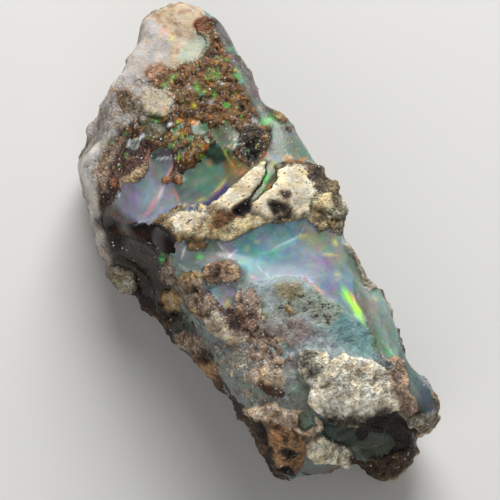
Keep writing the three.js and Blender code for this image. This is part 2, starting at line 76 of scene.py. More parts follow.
# ---- Finishes of the stone ----
# name: kind, main hue, second hue, vein hue, roughness, crumb height, dark flecks, glints
FINISHES = {
    "frosted rose": ("opal", (156, 145, 138), (142, 127, 118), (162, 156, 149), 0.5, 0.05, 0.2, 0.9),
    # Dark glass under the lip, laid darker as painted shade.
    "wall glass in painted shade": ("rock", (30, 22, 17), (44, 33, 25), (18, 14, 12), 0.25, 0.04, 0.1, 0.3),
    "lobe cream": ("rock", (168, 158, 135), (182, 172, 150), (118, 98, 72), 0.8, 0.035, 0.7, 0.2),
    "end pale": ("rock", (216, 210, 190), (199, 192, 170), (158, 147, 122), 0.75, 0.06, 0.3, 0.4),
    "bay green": ("opal", (77, 89, 81), (92, 100, 92), (64, 69, 52), 0.2, 0.0, 0.05, 0.2),
    # Painted shadow that the lip casts on the opal.
    "lip shadow brown": ("opal", (87, 73, 62), (69, 56, 48), (102, 92, 85), 0.3, 0.0, 0.0, 0.1),
    "red brown": ("rock", (84, 52, 38), (54, 34, 26), (124, 94, 79), 0.35, 0.075, 0.2, 1.5),
    "knob brown": ("rock", (72, 55, 33), (42, 31, 20), (112, 90, 54), 0.35, 0.1, 0.3, 1.6),
    "block cream": ("rock", (170, 161, 141), (160, 151, 130), (148, 132, 104), 0.85, 0.02, 0.4, 0.1),
    "crown tan": ("rock", (84, 56, 27), (114, 86, 48), (50, 32, 15), 0.4, 0.09, 0.2, 0.9),
    # Painted reflection in amber on the dark lip.
    "lip amber painted reflection": ("rock", (56, 26, 12), (40, 20, 10), (74, 38, 18), 0.2, 0.0, 0.0, 0.0),
    "pale rim": ("rock", (184, 180, 174), (160, 156, 150), (198, 194, 187), 0.4, 0.01, 0.0, 0.1),
    "grey opal": ("opal", (108, 116, 110), (125, 135, 127), (87, 87, 77), 0.35, 0.02, 0.1, 0.1),
    "glassy brown": ("rock", (60, 36, 17), (38, 24, 12), (98, 66, 30), 0.28, 0.08, 0.15, 1.0),
    "tip cream": ("rock", (166, 149, 124), (174, 158, 137), (140, 108, 83), 0.6, 0.012, 0.05, 0.0),
    "tip lavender": ("rock", (164, 156, 150), (154, 149, 148), (172, 156, 140), 0.55, 0.01, 0.0, 0.0),
    "tip green": ("rock", (160, 164, 144), (146, 155, 139), (174, 168, 146), 0.5, 0.01, 0.0, 0.0),
    "rust": ("rock", (110, 60, 21), (82, 46, 20), (126, 82, 38), 0.34, 0.05, 0.2, 0.8),
    "salmon crust": ("rock", (162, 122, 98), (148, 114, 94), (178, 144, 118), 0.6, 0.05, 0.1, 0.1),
    "white crust": ("rock", (158, 151, 145), (144, 138, 133), (132, 113, 97), 0.6, 0.03, 0.08, 0.1),
    "grey crust": ("rock", (112, 101, 88), (130, 120, 108), (76, 64, 53), 0.75, 0.06, 0.6, 0.1),
    "tan crust": ("rock", (130, 110, 90), (100, 78, 58), (164, 147, 122), 0.7, 0.09, 0.5, 1.0),
    "cream rock": ("rock", (193, 184, 162), (181, 172, 149), (162, 145, 117), 0.85, 0.015, 0.6, 0.1),
    "pinkish tan": ("rock", (152, 132, 113), (136, 116, 99), (108, 82, 62), 0.7, 0.05, 0.4, 0.5),
    "tan ledge": ("rock", (166, 146, 116), (138, 116, 88), (108, 86, 62), 0.6, 0.07, 0.3, 0.8),
    "clear crystal": ("opal", (146, 149, 152), (198, 202, 206), (100, 100, 98), 0.1, 0.05, 0.5, 0.9),
    "lavender opal": ("opal", (138, 144, 158), (146, 151, 167), (128, 146, 154), 0.2, 0.0, 0.02, 0.0),
    "sea green opal": ("opal", (104, 124, 109), (92, 126, 114), (122, 130, 106), 0.2, 0.0, 0.02, 0.0),
    "rose opal": ("opal", (152, 150, 160), (156, 152, 162), (140, 148, 156), 0.2, 0.0, 0.02, 0.0),
    "bay opal": ("opal", (120, 132, 128), (132, 134, 138), (112, 128, 116), 0.2, 0.0, 0.0, 0.0),
    "tan brown": ("rock", (132, 86, 50), (104, 64, 38), (166, 122, 78), 0.45, 0.05, 0.3, 0.3),
    "violet opal": ("opal", (60, 52, 100), (77, 62, 108), (54, 54, 87), 0.2, 0.0, 0.0, 0.0),
    "amber opal": ("opal", (98, 92, 64), (116, 94, 62), (92, 104, 77), 0.22, 0.01, 0.1, 0.3),
    "bottle green": ("opal", (46, 54, 44), (60, 69, 56), (37, 42, 31), 0.25, 0.03, 0.1, 0.3),
    "crown green": ("rock", (58, 62, 22), (70, 56, 20), (36, 74, 32), 0.26, 0.05, 0.1, 0.9),
    "pane opal": ("opal", (108, 118, 100), (121, 125, 106), (92, 92, 67), 0.22, 0.02, 0.1, 0.6),
    "knob opal": ("opal", (120, 131, 114), (109, 125, 115), (136, 132, 106), 0.28, 0.02, 0.1, 0.3),
    "brown knob": ("rock", (84, 68, 52), (122, 106, 82), (48, 36, 28), 0.6, 0.1, 0.6, 0.7),
    "dark brown": ("rock", (34, 24, 16), (25, 18, 12), (62, 44, 27), 0.35, 0.09, 0.2, 1.0),
    "smoky glass": ("opal", (79, 80, 73), (102, 106, 100), (73, 62, 48), 0.3, 0.02, 0.1, 0.2),
    "olive rock": ("rock", (172, 148, 108), (136, 108, 74), (200, 182, 146), 0.65, 0.05, 0.3, 0.4),
    "grey tan rock": ("rock", (138, 134, 116), (106, 94, 76), (166, 160, 142), 0.7, 0.08, 0.4, 0.4),
    "olive brown": ("rock", (128, 104, 68), (92, 70, 44), (164, 144, 104), 0.6, 0.06, 0.4, 0.4),
    "rust band": ("rock", (138, 100, 60), (104, 72, 42), (172, 142, 100), 0.5, 0.055, 0.3, 0.5),
    "pale olive": ("rock", (186, 172, 136), (164, 146, 108), (206, 196, 166), 0.6, 0.045, 0.25, 0.4),
    "channel opal": ("opal", (73, 87, 64), (92, 94, 69), (64, 58, 40), 0.22, 0.02, 0.1, 0.4),
    "dark pit": ("rock", (44, 32, 28), (58, 42, 36), (30, 22, 20), 0.6, 0.12, 0.3, 0.8),
    "small opal": ("opal", (146, 146, 154), (127, 141, 139), (164, 158, 171), 0.18, 0.02, 0.1, 0.6),
    "milky opal": ("opal", (127, 153, 164), (133, 152, 168), (116, 154, 160), 0.22, 0.0, 0.04, 0.0),
    "teal opal": ("opal", (112, 166, 169), (127, 173, 181), (104, 168, 152), 0.2, 0.01, 0.02, 0.1),
    "sky opal": ("opal", (124, 165, 174), (136, 171, 184), (110, 157, 164), 0.22, 0.02, 0.02, 0.2),
    "moss opal": ("opal", (141, 157, 139), (156, 162, 133), (129, 154, 152), 0.22, 0.01, 0.02, 0.0),
    "lilac opal": ("opal", (129, 139, 161), (137, 144, 164), (125, 152, 162), 0.24, 0.0, 0.04, 0.0),
    "frosted opal": ("opal", (154, 168, 168), (163, 176, 175), (139, 153, 150), 0.5, 0.05, 0.12, 0.9),
    "frosted teal": ("opal", (121, 156, 154), (110, 148, 152), (135, 164, 156), 0.45, 0.035, 0.05, 0.5),
    "frosted flecks": ("opal", (156, 166, 156), (144, 154, 139), (116, 114, 87), 0.5, 0.05, 1.5, 0.6),
    "frosted tan": ("opal", (156, 152, 125), (141, 127, 96), (164, 164, 141), 0.6, 0.06, 1.3, 0.4),
    "pale aqua opal": ("opal", (114, 146, 139), (133, 156, 139), (108, 137, 135), 0.28, 0.01, 0.03, 0.1),
    "pale crust": ("rock", (160, 154, 140), (140, 132, 116), (120, 104, 84), 0.7, 0.05, 0.3, 0.2),
    "crease opal": ("opal", (116, 130, 115), (125, 139, 123), (100, 107, 95), 0.3, 0.0, 0.1, 0.0),
    "fin opal": ("opal", (77, 100, 92), (69, 92, 94), (94, 106, 89), 0.3, 0.01, 0.05, 0.1),
    "fin lavender": ("opal", (89, 101, 106), (87, 97, 107), (81, 99, 98), 0.3, 0.01, 0.0, 0.0),
    "veined opal": ("opal", (133, 144, 138), (146, 154, 150), (110, 102, 87), 0.42, 0.045, 0.25, 1.2),
    "cream brown": ("rock", (158, 147, 120), (174, 164, 140), (112, 92, 70), 0.75, 0.06, 0.4, 0.4),
    "pink brown": ("rock", (122, 102, 86), (150, 131, 114), (80, 60, 46), 0.5, 0.085, 0.2, 1.6),
    "pale grains": ("rock", (170, 158, 138), (144, 128, 108), (190, 181, 163), 0.55, 0.055, 0.25, 1.4),
    "low grey opal": ("opal", (139, 142, 137), (152, 156, 151), (112, 108, 100), 0.42, 0.045, 0.15, 1.2),
    "grainy cream": ("rock", (213, 207, 191), (195, 187, 169), (163, 152, 133), 0.9, 0.06, 0.4, 0.3),
    "dark grains": ("rock", (134, 128, 113), (84, 80, 72), (176, 168, 150), 0.85, 0.09, 0.6, 0.2),
    "pink crust": ("rock", (136, 112, 96), (154, 132, 112), (100, 80, 66), 0.8, 0.09, 0.4, 0.2),
    "shaded grains": ("rock", (92, 86, 74), (64, 58, 50), (118, 110, 94), 0.9, 0.11, 0.6, 0.1),
    # Dark brown of cavities and pits, laid as painted shade in the recesses.
    "cavity painted shade": ("rock", (34, 25, 20), (44, 32, 26), (26, 20, 17), 0.5, 0.03, 0.1, 0.1),
    "cavity glimmer": ("opal", (62, 70, 62), (77, 85, 76), (52, 52, 44), 0.4, 0.03, 0.1, 0.1),
    "low pale crust": ("rock", (182, 160, 138), (194, 175, 153), (134, 106, 84), 0.75, 0.07, 0.3, 0.4),
    "green hole": ("opal", (116, 129, 114), (127, 137, 129), (96, 100, 83), 0.3, 0.02, 0.1, 0.1),
    "rust lump": ("rock", (136, 100, 68), (154, 120, 86), (88, 66, 47), 0.5, 0.07, 0.25, 0.7),
    # Dark glass of the lip, laid near black as painted shade.
    "lip black in painted shade": ("rock", (11, 8, 6), (15, 10, 7), (8, 6, 5), 0.18, 0.0, 0.0, 0.0),
    # Painted reflection in red on the dark lip.
    "lip red painted reflection": ("rock", (30, 15, 11), (20, 11, 9), (44, 22, 15), 0.22, 0.0, 0.0, 0.0),
    # Dark rock of the left wall, laid darker as painted shade.
    "wall rock in painted shade": ("rock", (38, 31, 25), (54, 44, 34), (25, 20, 16), 0.6, 0.1, 0.2, 0.2),
    "wall brown": ("rock", (74, 56, 40), (54, 42, 32), (98, 78, 56), 0.6, 0.1, 0.3, 0.5),
    "wall opal": ("opal", (64, 73, 64), (81, 87, 73), (52, 48, 37), 0.35, 0.03, 0.2, 0.2),
    "side opal": ("opal", (112, 127, 127), (127, 137, 148), (96, 102, 92), 0.28, 0.02, 0.05, 0.1),
}

# ---- Views of the plane that the outlines are drawn on ----
# The whole view is the 500 x 500 frame, with AIM at its middle. The others are enlarged parts of it.
# name: top left corner in the frame, enlargement
FRAME_MIDDLE = 250
PIXELS_PER_MM = 18
WHOLE = ((0, 0), 1)
TIP = ((80, 0), 7)
MIDDLE = ((150, 150), 7)
LEFT = ((70, 120), 14 / 3)
LOW = ((200, 340), 5.6)
RIGHT = ((300, 160), 5)
# A point counts to a twentieth of a millimetre, because it can't be placed more finely.
PLACES_PER_MM = 20

# ---- Two outlines of the front that several areas share, in pixels of the whole view ----
CROWN = [
    (222, 34), (244, 76), (266, 112), (272, 140), (262, 162), (240, 170), (225, 150), (205, 152),
    (190, 165), (160, 150), (130, 165), (112, 190), (104, 160), (118, 125), (150, 116), (166, 100),
    (150, 80), (150, 70), (200, 60), (206, 30),
]
BAND = [
    (158, 226), (175, 208), (210, 206), (250, 172), (264, 164), (262, 180), (250, 204), (275, 200),
    (310, 205), (340, 195), (342, 225), (310, 222), (270, 222), (210, 240), (174, 240),
]

# ---- Areas of the front, laid in this order ----
# name: finish, rise, edge width, islands (wavelength, level, pattern number) or None, view,
# outline in pixels of the view, to the right and down
AREAS = {
    "body": ("grey opal", 0.0, 0.3, None, WHOLE, [
        (176, 236), (342, 226), (372, 270), (400, 300), (402, 350), (436, 400), (436, 430), (420, 450),
        (350, 470), (300, 476), (282, 470), (262, 414), (246, 402), (232, 385), (222, 362), (208, 345),
        (184, 302), (180, 276), (172, 262), (164, 253),
    ]),
    "crown": ("glassy brown", 0.1, 0.25, None, WHOLE, [
        (103, 222), (160, 228), (200, 200), (240, 186), (262, 166), (280, 165), (274, 120), (266, 104),
        (220, 30), (206, 16), (196, 20), (200, 42), (196, 55), (188, 62), (176, 66), (162, 66),
        (152, 70), (148, 78), (160, 86), (168, 96), (168, 108), (164, 114), (150, 116), (140, 114),
        (133, 108), (125, 105), (118, 118), (103, 137), (98, 160),
    ]),
    "crown dark": ("dark brown", 0.0, 0.15, (0.7, 0.1, 101.0), WHOLE, CROWN),
    "crown moss": ("crown green", 0.0, 0.15, (0.5, 0.0, 102.0), WHOLE, [
        (245, 76), (262, 110), (250, 130), (215, 140), (180, 160), (160, 140), (175, 100), (170, 70),
        (210, 66),
    ]),
    "crown amber": ("rust", 0.12, 0.15, (0.4, 0.1, 103.0), WHOLE, CROWN),
    "crown panes": ("pane opal", -0.05, 0.12, (0.55, 0.2, 104.0), WHOLE, [
        (245, 122), (235, 142), (200, 140), (175, 160), (160, 150), (175, 118), (215, 122),
    ]),
    "crown grains": ("crown tan", 0.14, 0.12, (0.42, 0.2, 105.0), WHOLE, CROWN),
    "tip": ("tip cream", 0.02, 0.25, None, TIP, [
        (850, 40), (880, 90), (830, 140), (815, 190), (830, 240), (880, 250), (890, 300), (830, 410),
        (790, 440), (720, 420), (640, 470), (540, 420), (490, 470), (460, 540), (400, 520), (340, 560),
        (300, 500), (345, 330), (345, 250), (370, 190), (430, 170), (460, 120), (610, 40), (700, 15),
        (790, 15),
    ]),
    "tip left": ("tip lavender", 0.02, 0.5, None, TIP, [
        (500, 150), (590, 260), (610, 340), (600, 400), (540, 420), (490, 470), (460, 540), (400, 520),
        (340, 560), (300, 500), (345, 330), (345, 250), (370, 190),
    ]),
    "tip strip": ("tip green", 0.0, 0.2, None, TIP, [
        (880, 250), (890, 300), (810, 400), (760, 430), (700, 420), (710, 370), (800, 290), (830, 240),
    ]),
    "tip rust": ("rust", 0.0, 0.25, None, TIP, [
        (830, 140), (880, 135), (910, 180), (890, 225), (840, 215), (815, 180),
    ]),
    "tip salmon": ("salmon crust", 0.1, 0.45, None, TIP, [
        (560, 450), (580, 480), (540, 530), (490, 550), (470, 500),
    ]),
    "upper crust": ("white crust", 0.15, 0.2, None, TIP, [
        (620, 660), (640, 720), (610, 800), (560, 810), (440, 800), (380, 830), (120, 1060), (50, 1080),
        (70, 850), (100, 770), (160, 710), (175, 630), (240, 530), (290, 530), (350, 560), (420, 550),
        (470, 590), (500, 640),
    ]),
    "upper crust shade": ("grey crust", 0.1, 0.3, None, TIP, [
        (450, 690), (465, 740), (440, 790), (380, 800), (345, 770), (340, 720), (400, 690),
    ]),
    "upper crust tan": ("tan crust", 0.05, 0.2, None, TIP, [
        (330, 640), (365, 680), (345, 750), (305, 780), (280, 730), (285, 650),
    ]),
    "cream block": ("block cream", 0.16, 0.3, None, WHOLE, [
        (147, 95), (155, 93), (171, 99), (167, 113), (158, 115), (149, 113), (145, 104),
    ]),
    "left rim": ("white crust", 0.2, 0.25, None, LEFT, [
        (245, 50), (185, 120), (152, 180), (145, 260), (160, 460), (150, 500), (165, 520), (150, 600),
        (110, 560), (85, 380), (40, 260), (40, 220), (110, 90), (180, 60),
    ]),
    "rim white": ("pale rim", 0.25, 0.2, None, WHOLE, [
        (114, 130), (83, 162), (80, 170), (83, 178), (89, 186), (93, 198), (95, 210), (91, 236),
        (92, 250), (96, 260), (101, 262), (103, 236), (106, 224), (98, 186), (92, 176), (90, 168),
        (115, 136),
    ]),
    "wedge": ("red brown", 0.0, 0.2, None, LEFT, [
        (170, 460), (150, 320), (165, 190), (190, 140), (230, 95), (300, 60), (350, 65), (385, 130),
        (365, 165), (370, 200), (350, 245), (310, 280), (260, 295), (240, 310), (205, 400), (195, 455),
    ]),
    "wedge top": ("pinkish tan", 0.08, 0.3, None, LEFT, [
        (265, 65), (275, 90), (200, 170), (170, 220), (160, 330), (150, 200), (170, 150), (215, 95),
    ]),
    "wedge ledge": ("tan ledge", 0.15, 0.15, None, LEFT, [
        (240, 305), (248, 275), (300, 255), (340, 215), (365, 203), (370, 235), (345, 272), (310, 292),
    ]),
    "crystal": ("clear crystal", 0.2, 0.12, None, WHOLE, [
        (126, 141), (144, 134), (141, 146), (136, 149), (130, 147),
    ]),
    "window left": ("lavender opal", -0.09, 0.26, None, LEFT, [
        (165, 470), (190, 400), (225, 330), (250, 300), (320, 290), (350, 260), (370, 220), (365, 170),
        (385, 140), (430, 128), (478, 150), (488, 200), (478, 250), (450, 290), (530, 300), (535, 250),
        (600, 210), (640, 170), (660, 135), (700, 150), (730, 190), (752, 262), (780, 275), (740, 330),
        (690, 375), (600, 412), (540, 415), (495, 400), (400, 490), (210, 465),
    ]),
    "window left green": ("sea green opal", -0.12, 0.5, None, LEFT, [
        (700, 150), (735, 190), (750, 270), (720, 320), (680, 360), (620, 395), (560, 395), (510, 380),
        (480, 290), (520, 290), (545, 250), (640, 170), (660, 135),
    ]),
    "window left pink": ("rose opal", -0.12, 0.6, None, LEFT, [
        (440, 310), (460, 340), (440, 400), (400, 460), (360, 470), (340, 430), (380, 370), (400, 320),
    ]),
    "window left bay": ("bay opal", -0.08, 0.3, None, LEFT, [
        (430, 130), (475, 150), (485, 195), (475, 240), (440, 270), (395, 270), (375, 230), (372, 175),
        (390, 140),
    ]),
    "window left dome": ("bay green", -0.08, 0.3, None, WHOLE, [
        (151, 151), (157, 147), (166, 147), (172, 152), (172, 158), (156, 160), (151, 158),
    ]),
    # Painted shadow of the lip on the window's lower left.
    "window left lip shadow": ("lip shadow brown", -0.05, 0.5, None, WHOLE, [
        (103, 207), (111, 209), (134, 224), (122, 226), (110, 223), (103, 216),
    ]),
    "drop one": ("tan brown", 0.12, 0.12, None, WHOLE, [
        (160, 182), (163, 178), (168, 178), (171, 182), (168, 185), (162, 185),
    ]),
    "drop two": ("tan brown", 0.12, 0.12, None, WHOLE, [
        (183, 178), (185, 182), (182, 185), (178, 185), (177, 182), (179, 178),
    ]),
    "violet wedge": ("violet opal", -0.15, 0.2, None, WHOLE, [
        (204, 208), (236, 175), (242, 174), (242, 180), (232, 192), (212, 206),
    ]),
    "amber glass": ("amber opal", -0.05, 0.25, None, WHOLE, [
        (222, 148), (230, 146), (236, 156), (243, 162), (252, 166), (262, 158), (268, 160), (262, 166),
        (252, 169), (236, 185), (230, 187), (226, 164), (221, 155),
    ]),
    "green glass": ("bottle green", 0.0, 0.2, None, WHOLE, [
        (205, 148), (211, 143), (219, 142), (225, 147), (226, 157), (218, 161), (209, 158),
    ]),
    "crown green": ("crown green", 0.0, 0.25, None, WHOLE, [
        (150, 116), (160, 117), (167, 122), (168, 132), (160, 138), (150, 136), (145, 126),
    ]),
    "crown pane one": ("pane opal", -0.05, 0.2, None, WHOLE, [
        (189, 125), (197, 122), (207, 123), (210, 130), (203, 134), (192, 133),
    ]),
    "crown pane two": ("pane opal", -0.05, 0.2, None, WHOLE, [
        (211, 129), (221, 125), (234, 127), (243, 134), (243, 145), (235, 149), (225, 146), (216, 141),
        (211, 135),
    ]),
    "knob": ("knob opal", 0.1, 0.2, None, WHOLE, [
        (260, 118), (268, 113), (278, 111), (290, 111), (299, 117), (320, 160), (322, 170), (311, 169),
        (287, 162), (277, 167), (268, 166), (264, 160), (271, 138), (268, 128), (264, 130), (258, 125),
    ]),
    "knob cap": ("olive brown", 0.12, 0.3, None, WHOLE, [
        (270, 117), (281, 110), (292, 112), (299, 119), (292, 124), (281, 122),
    ]),
    "knob patch": ("knob brown", 0.15, 0.2, None, WHOLE, [
        (272, 128), (272, 138), (258, 163), (250, 161), (243, 155), (239, 145), (241, 133), (250, 128),
        (262, 126),
    ]),
    "edge strip": ("smoky glass", 0.0, 0.3, None, WHOLE, [
        (216, 20), (224, 28), (272, 116), (263, 120), (254, 108), (216, 32),
    ]),
    "band": ("olive rock", 0.2, 0.14, None, MIDDLE, [
        (20, 530), (90, 462), (200, 440), (330, 440), (420, 406), (556, 298), (718, 123), (800, 82),
        (815, 98), (792, 140), (792, 190), (680, 380), (700, 400), (740, 355), (800, 325), (845, 280),
        (885, 130), (960, 88), (1060, 98), (1130, 125), (1290, 220), (1340, 290), (1345, 480),
        (1370, 570), (1300, 600), (1240, 560), (1180, 562), (1080, 480), (900, 522), (830, 500),
        (720, 560), (660, 570), (620, 610), (560, 632), (420, 640), (370, 600), (165, 645),
    ]),
    "band knob": ("brown knob", 0.22, 0.3, None, MIDDLE, [
        (890, 125), (960, 88), (1060, 98), (1130, 125), (1290, 220), (1340, 290), (1345, 480),
        (1370, 570), (1300, 600), (1240, 560), (1180, 562), (1120, 510), (1100, 450), (1140, 380),
        (1140, 300), (1110, 230), (1060, 170),
    ]),
    "band knob grey": ("grey tan rock", 0.2, 0.4, None, MIDDLE, [
        (1290, 400), (1335, 440), (1360, 570), (1310, 600), (1250, 560), (1225, 500), (1240, 420),
    ]),
    "band scatter": ("olive brown", 0.14, 0.15, (0.6, 0.15, 111.0), WHOLE, BAND),
    "band pale": ("pale olive", 0.24, 0.15, (0.5, 0.25, 112.0), WHOLE, BAND),
    "band left end": ("olive brown", 0.2, 0.2, None, MIDDLE, [
        (20, 530), (90, 455), (140, 430), (150, 480), (140, 540), (170, 600), (230, 610), (230, 632),
        (165, 645),
    ]),
    "band rust": ("rust band", 0.16, 0.25, None, MIDDLE, [
        (640, 440), (650, 480), (480, 560), (430, 550), (500, 450), (490, 400), (540, 380),
    ]),
    "band pale foot": ("pale olive", 0.2, 0.2, None, MIDDLE, [
        (760, 490), (720, 540), (650, 560), (610, 600), (540, 630), (440, 625), (460, 590), (520, 570),
        (640, 500), (700, 480),
    ]),
    "cream ribbon": ("cream rock", 0.38, 0.13, None, MIDDLE, [
        (785, 140), (722, 128), (548, 300), (484, 354), (420, 385), (440, 420), (500, 400), (570, 415),
        (610, 395), (790, 190),
    ]),
    "cream lobe": ("lobe cream", 0.26, 0.15, None, MIDDLE, [
        (142, 500), (180, 550), (240, 570), (300, 545), (370, 460), (430, 430), (470, 390), (460, 376),
        (420, 410), (330, 446), (200, 448), (158, 466),
    ]),
    "cream patch": ("cream rock", 0.4, 0.14, None, MIDDLE, [
        (1142, 300), (1135, 370), (1095, 440), (1030, 460), (980, 440), (900, 485), (830, 475),
        (700, 432), (688, 400), (818, 342), (858, 300), (908, 168), (962, 142), (1030, 148), (1090, 185),
    ]),
    "channel": ("channel opal", 0.05, 0.15, None, MIDDLE, [
        (893, 135), (862, 290), (820, 336), (712, 388), (670, 390), (690, 340), (780, 215), (815, 100),
        (845, 100),
    ]),
    "pit left": ("dark pit", 0.02, 0.2, None, MIDDLE, [
        (585, 425), (620, 385), (660, 370), (690, 390), (685, 430), (640, 455), (600, 450),
    ]),
    "pit right": ("dark pit", 0.2, 0.3, (0.5, -0.12, 126.0), WHOLE, [
        (272, 207), (279, 204), (288, 210), (286, 215), (279, 217), (273, 213),
    ]),
    "pit small": ("dark pit", 0.2, 0.12, None, MIDDLE, [
        (940, 315), (950, 330), (938, 342), (925, 325),
    ]),
    "small opal": ("small opal", 0.05, 0.15, None, MIDDLE, [
        (165, 680), (190, 650), (230, 640), (260, 690), (420, 710), (480, 700), (500, 650), (600, 625),
        (640, 640), (630, 720), (600, 770), (440, 835), (250, 830), (190, 770),
    ]),
    "small opal brown": ("olive brown", 0.1, 0.15, None, WHOLE, [
        (186, 243), (193, 239), (202, 240), (208, 244), (204, 249), (195, 251), (188, 249),
    ]),
    "window right": ("milky opal", -0.1, 0.15, None, MIDDLE, [
        (600, 625), (660, 575), (790, 532), (830, 502), (900, 524), (1080, 482), (1180, 564),
        (1240, 562), (1370, 650), (1480, 860), (1530, 990), (1545, 1110), (1500, 1180), (1440, 1170),
        (1380, 1180), (1330, 1100), (1080, 900), (950, 880), (850, 920), (763, 925), (700, 895),
        (610, 790),
    ]),
    "window right teal": ("teal opal", -0.1, 0.6, None, MIDDLE, [
        (910, 680), (880, 740), (810, 790), (720, 830), (650, 830), (610, 770), (605, 660), (700, 630),
        (790, 620), (880, 630),
    ]),
    "window right sky": ("sky opal", -0.08, 0.45, None, MIDDLE, [
        (740, 580), (830, 520), (950, 530), (1050, 520), (1060, 570), (1010, 630), (930, 670),
        (840, 680), (760, 650),
    ]),
    "window right moss": ("moss opal", -0.1, 0.6, None, MIDDLE, [
        (1070, 560), (1300, 610), (1370, 670), (1400, 770), (1330, 820), (1200, 790), (1110, 700),
    ]),
    "window right lilac": ("lilac opal", -0.1, 0.8, None, MIDDLE, [
        (1100, 720), (1200, 740), (1280, 790), (1330, 880), (1350, 980), (1280, 1000), (1100, 880),
        (1060, 800),
    ]),
    "frosted": ("frosted opal", 0.03, 0.35, None, MIDDLE, [
        (1640, 1480), (1580, 1512), (1480, 1456), (1340, 1421), (1250, 1460), (1130, 1410), (1050, 1430),
        (930, 1550), (750, 1490), (650, 1370), (640, 1290), (670, 1220), (740, 1180), (790, 1100),
        (750, 1030), (640, 940), (700, 895), (763, 925), (850, 920), (950, 880), (1080, 900),
        (1330, 1100), (1380, 1180), (1440, 1175), (1510, 1200), (1600, 1420),
    ]),
    "frosted teal": ("frosted teal", 0.03, 0.7, None, MIDDLE, [
        (1260, 1180), (1440, 1175), (1510, 1230), (1560, 1340), (1580, 1450), (1480, 1440), (1360, 1400),
        (1280, 1320),
    ]),
    "frosted brown": ("frosted flecks", 0.03, 0.2, (0.34, -0.05, 121.0), WHOLE, [
        (341, 306), (338, 316), (328, 324), (316, 320), (305, 312), (292, 312), (280, 316), (276, 308),
        (297, 296), (312, 293),
    ]),
    "frosted tan": ("frosted tan", 0.06, 0.3, (0.3, -0.1, 122.0), WHOLE, [
        (277, 288), (286, 284), (297, 284), (300, 291), (292, 297), (280, 297),
    ]),
    "frosted row": ("frosted flecks", 0.03, 0.12, (0.3, 0.05, 123.0), WHOLE, [
        (252, 316), (262, 313), (280, 316), (318, 313), (318, 318), (300, 321), (262, 320),
    ]),
    "frosted blob": ("olive brown", 0.1, 0.15, None, WHOLE, [
        (283, 306), (290, 305), (296, 309), (294, 314), (287, 312),
    ]),
    "frosted spot": ("olive brown", 0.08, 0.15, (0.4, 0.0, 124.0), WHOLE, [
        (330, 311), (332, 318), (325, 323), (320, 319), (322, 313),
    ]),
    "frosted grey": ("frosted opal", 0.1, 0.3, (0.8, 0.1, 125.0), WHOLE, [
        (270, 322), (300, 318), (325, 330), (330, 345), (310, 352), (285, 345), (268, 335),
    ]),
    "frosted stain": ("frosted rose", 0.08, 0.8, None, WHOLE, [
        (250, 327), (266, 322), (284, 328), (290, 338), (276, 345), (258, 338),
    ]),
    "frosted stain low": ("frosted rose", 0.06, 0.8, None, WHOLE, [
        (284, 318), (300, 322), (312, 334), (300, 340), (288, 330),
    ]),
    "right lobe": ("pale aqua opal", 0.02, 0.25, None, RIGHT, [
        (360, 620), (400, 640), (440, 690), (470, 750), (500, 920), (520, 980), (480, 990), (415, 985),
        (335, 730), (325, 640),
    ]),
    "right rim": ("pale crust", 0.1, 0.2, None, RIGHT, [
        (220, 390), (250, 400), (380, 640), (345, 665), (310, 610),
    ]),
    "right crease": ("crease opal", -0.12, 0.15, None, RIGHT, [
        (255, 470), (275, 500), (355, 820), (420, 995), (405, 1000), (308, 730),
    ]),
    "fin": ("fin opal", 0.05, 0.25, None, RIGHT, [
        (500, 960), (580, 1060), (690, 1260), (670, 1310), (620, 1320), (590, 1260), (505, 1040),
    ]),
    "fin edge": ("fin lavender", 0.05, 0.35, None, RIGHT, [
        (600, 1110), (650, 1180), (690, 1260), (670, 1310), (620, 1320), (590, 1180),
    ]),
    "left bed": ("veined opal", 0.0, 0.3, None, MIDDLE, [
        (180, 790), (250, 830), (340, 842), (440, 838), (560, 790), (630, 840), (790, 1100), (740, 1180),
        (670, 1220), (640, 1290), (650, 1370), (690, 1420), (560, 1430), (430, 1340), (330, 1230),
        (230, 1150), (200, 1000),
    ]),
    "crust saddle": ("tan crust", 0.26, 0.2, None, MIDDLE, [
        (640, 880), (600, 940), (540, 955), (420, 930), (365, 890), (370, 840), (440, 800), (540, 790),
        (620, 820),
    ]),
    "crust knob": ("olive brown", 0.26, 0.25, None, MIDDLE, [
        (392, 910), (380, 965), (320, 995), (250, 985), (205, 940), (210, 890), (270, 850), (350, 865),
    ]),
    "red cluster": ("pink brown", 0.14, 0.5, None, WHOLE, [
        (184, 297), (192, 291), (204, 291), (227, 314), (224, 322), (214, 325), (204, 320), (186, 305),
    ]),
    "red drift": ("pink brown", 0.1, 0.7, None, WHOLE, [
        (204, 319), (214, 322), (226, 318), (250, 332), (262, 336), (276, 334), (284, 339), (276, 346),
        (262, 346), (210, 327),
    ]),
    "pale cluster": ("pale grains", 0.14, 0.5, None, WHOLE, [
        (247, 291), (257, 296), (260, 306), (254, 315), (243, 318), (237, 311), (234, 303), (237, 297),
    ]),
    "cluster foot": ("pink brown", 0.1, 0.5, None, WHOLE, [
        (226, 310), (236, 312), (246, 318), (254, 326), (250, 332), (238, 326), (228, 318),
    ]),
    "cluster shade": ("dark brown", -0.03, 0.5, None, WHOLE, [
        (228, 322), (240, 322), (252, 329), (253, 335), (240, 332), (230, 327),
    ]),
    "cluster skin": ("pink brown", 0.1, 0.12, (0.4, 0.05, 131), WHOLE, [
        (186, 286), (204, 284), (222, 292), (236, 288), (262, 290), (266, 316), (258, 336), (236, 334),
        (204, 324), (188, 310),
    ]),
    "cluster skin pale": ("pale grains", 0.16, 0.1, (0.3, 0.35, 132), WHOLE, [
        (206, 312), (222, 306), (244, 306), (262, 302), (264, 320), (254, 334), (236, 332), (214, 326),
    ]),
    "cluster crease": ("red brown", 0.06, 0.12, (0.3, 0.2, 134), WHOLE, [
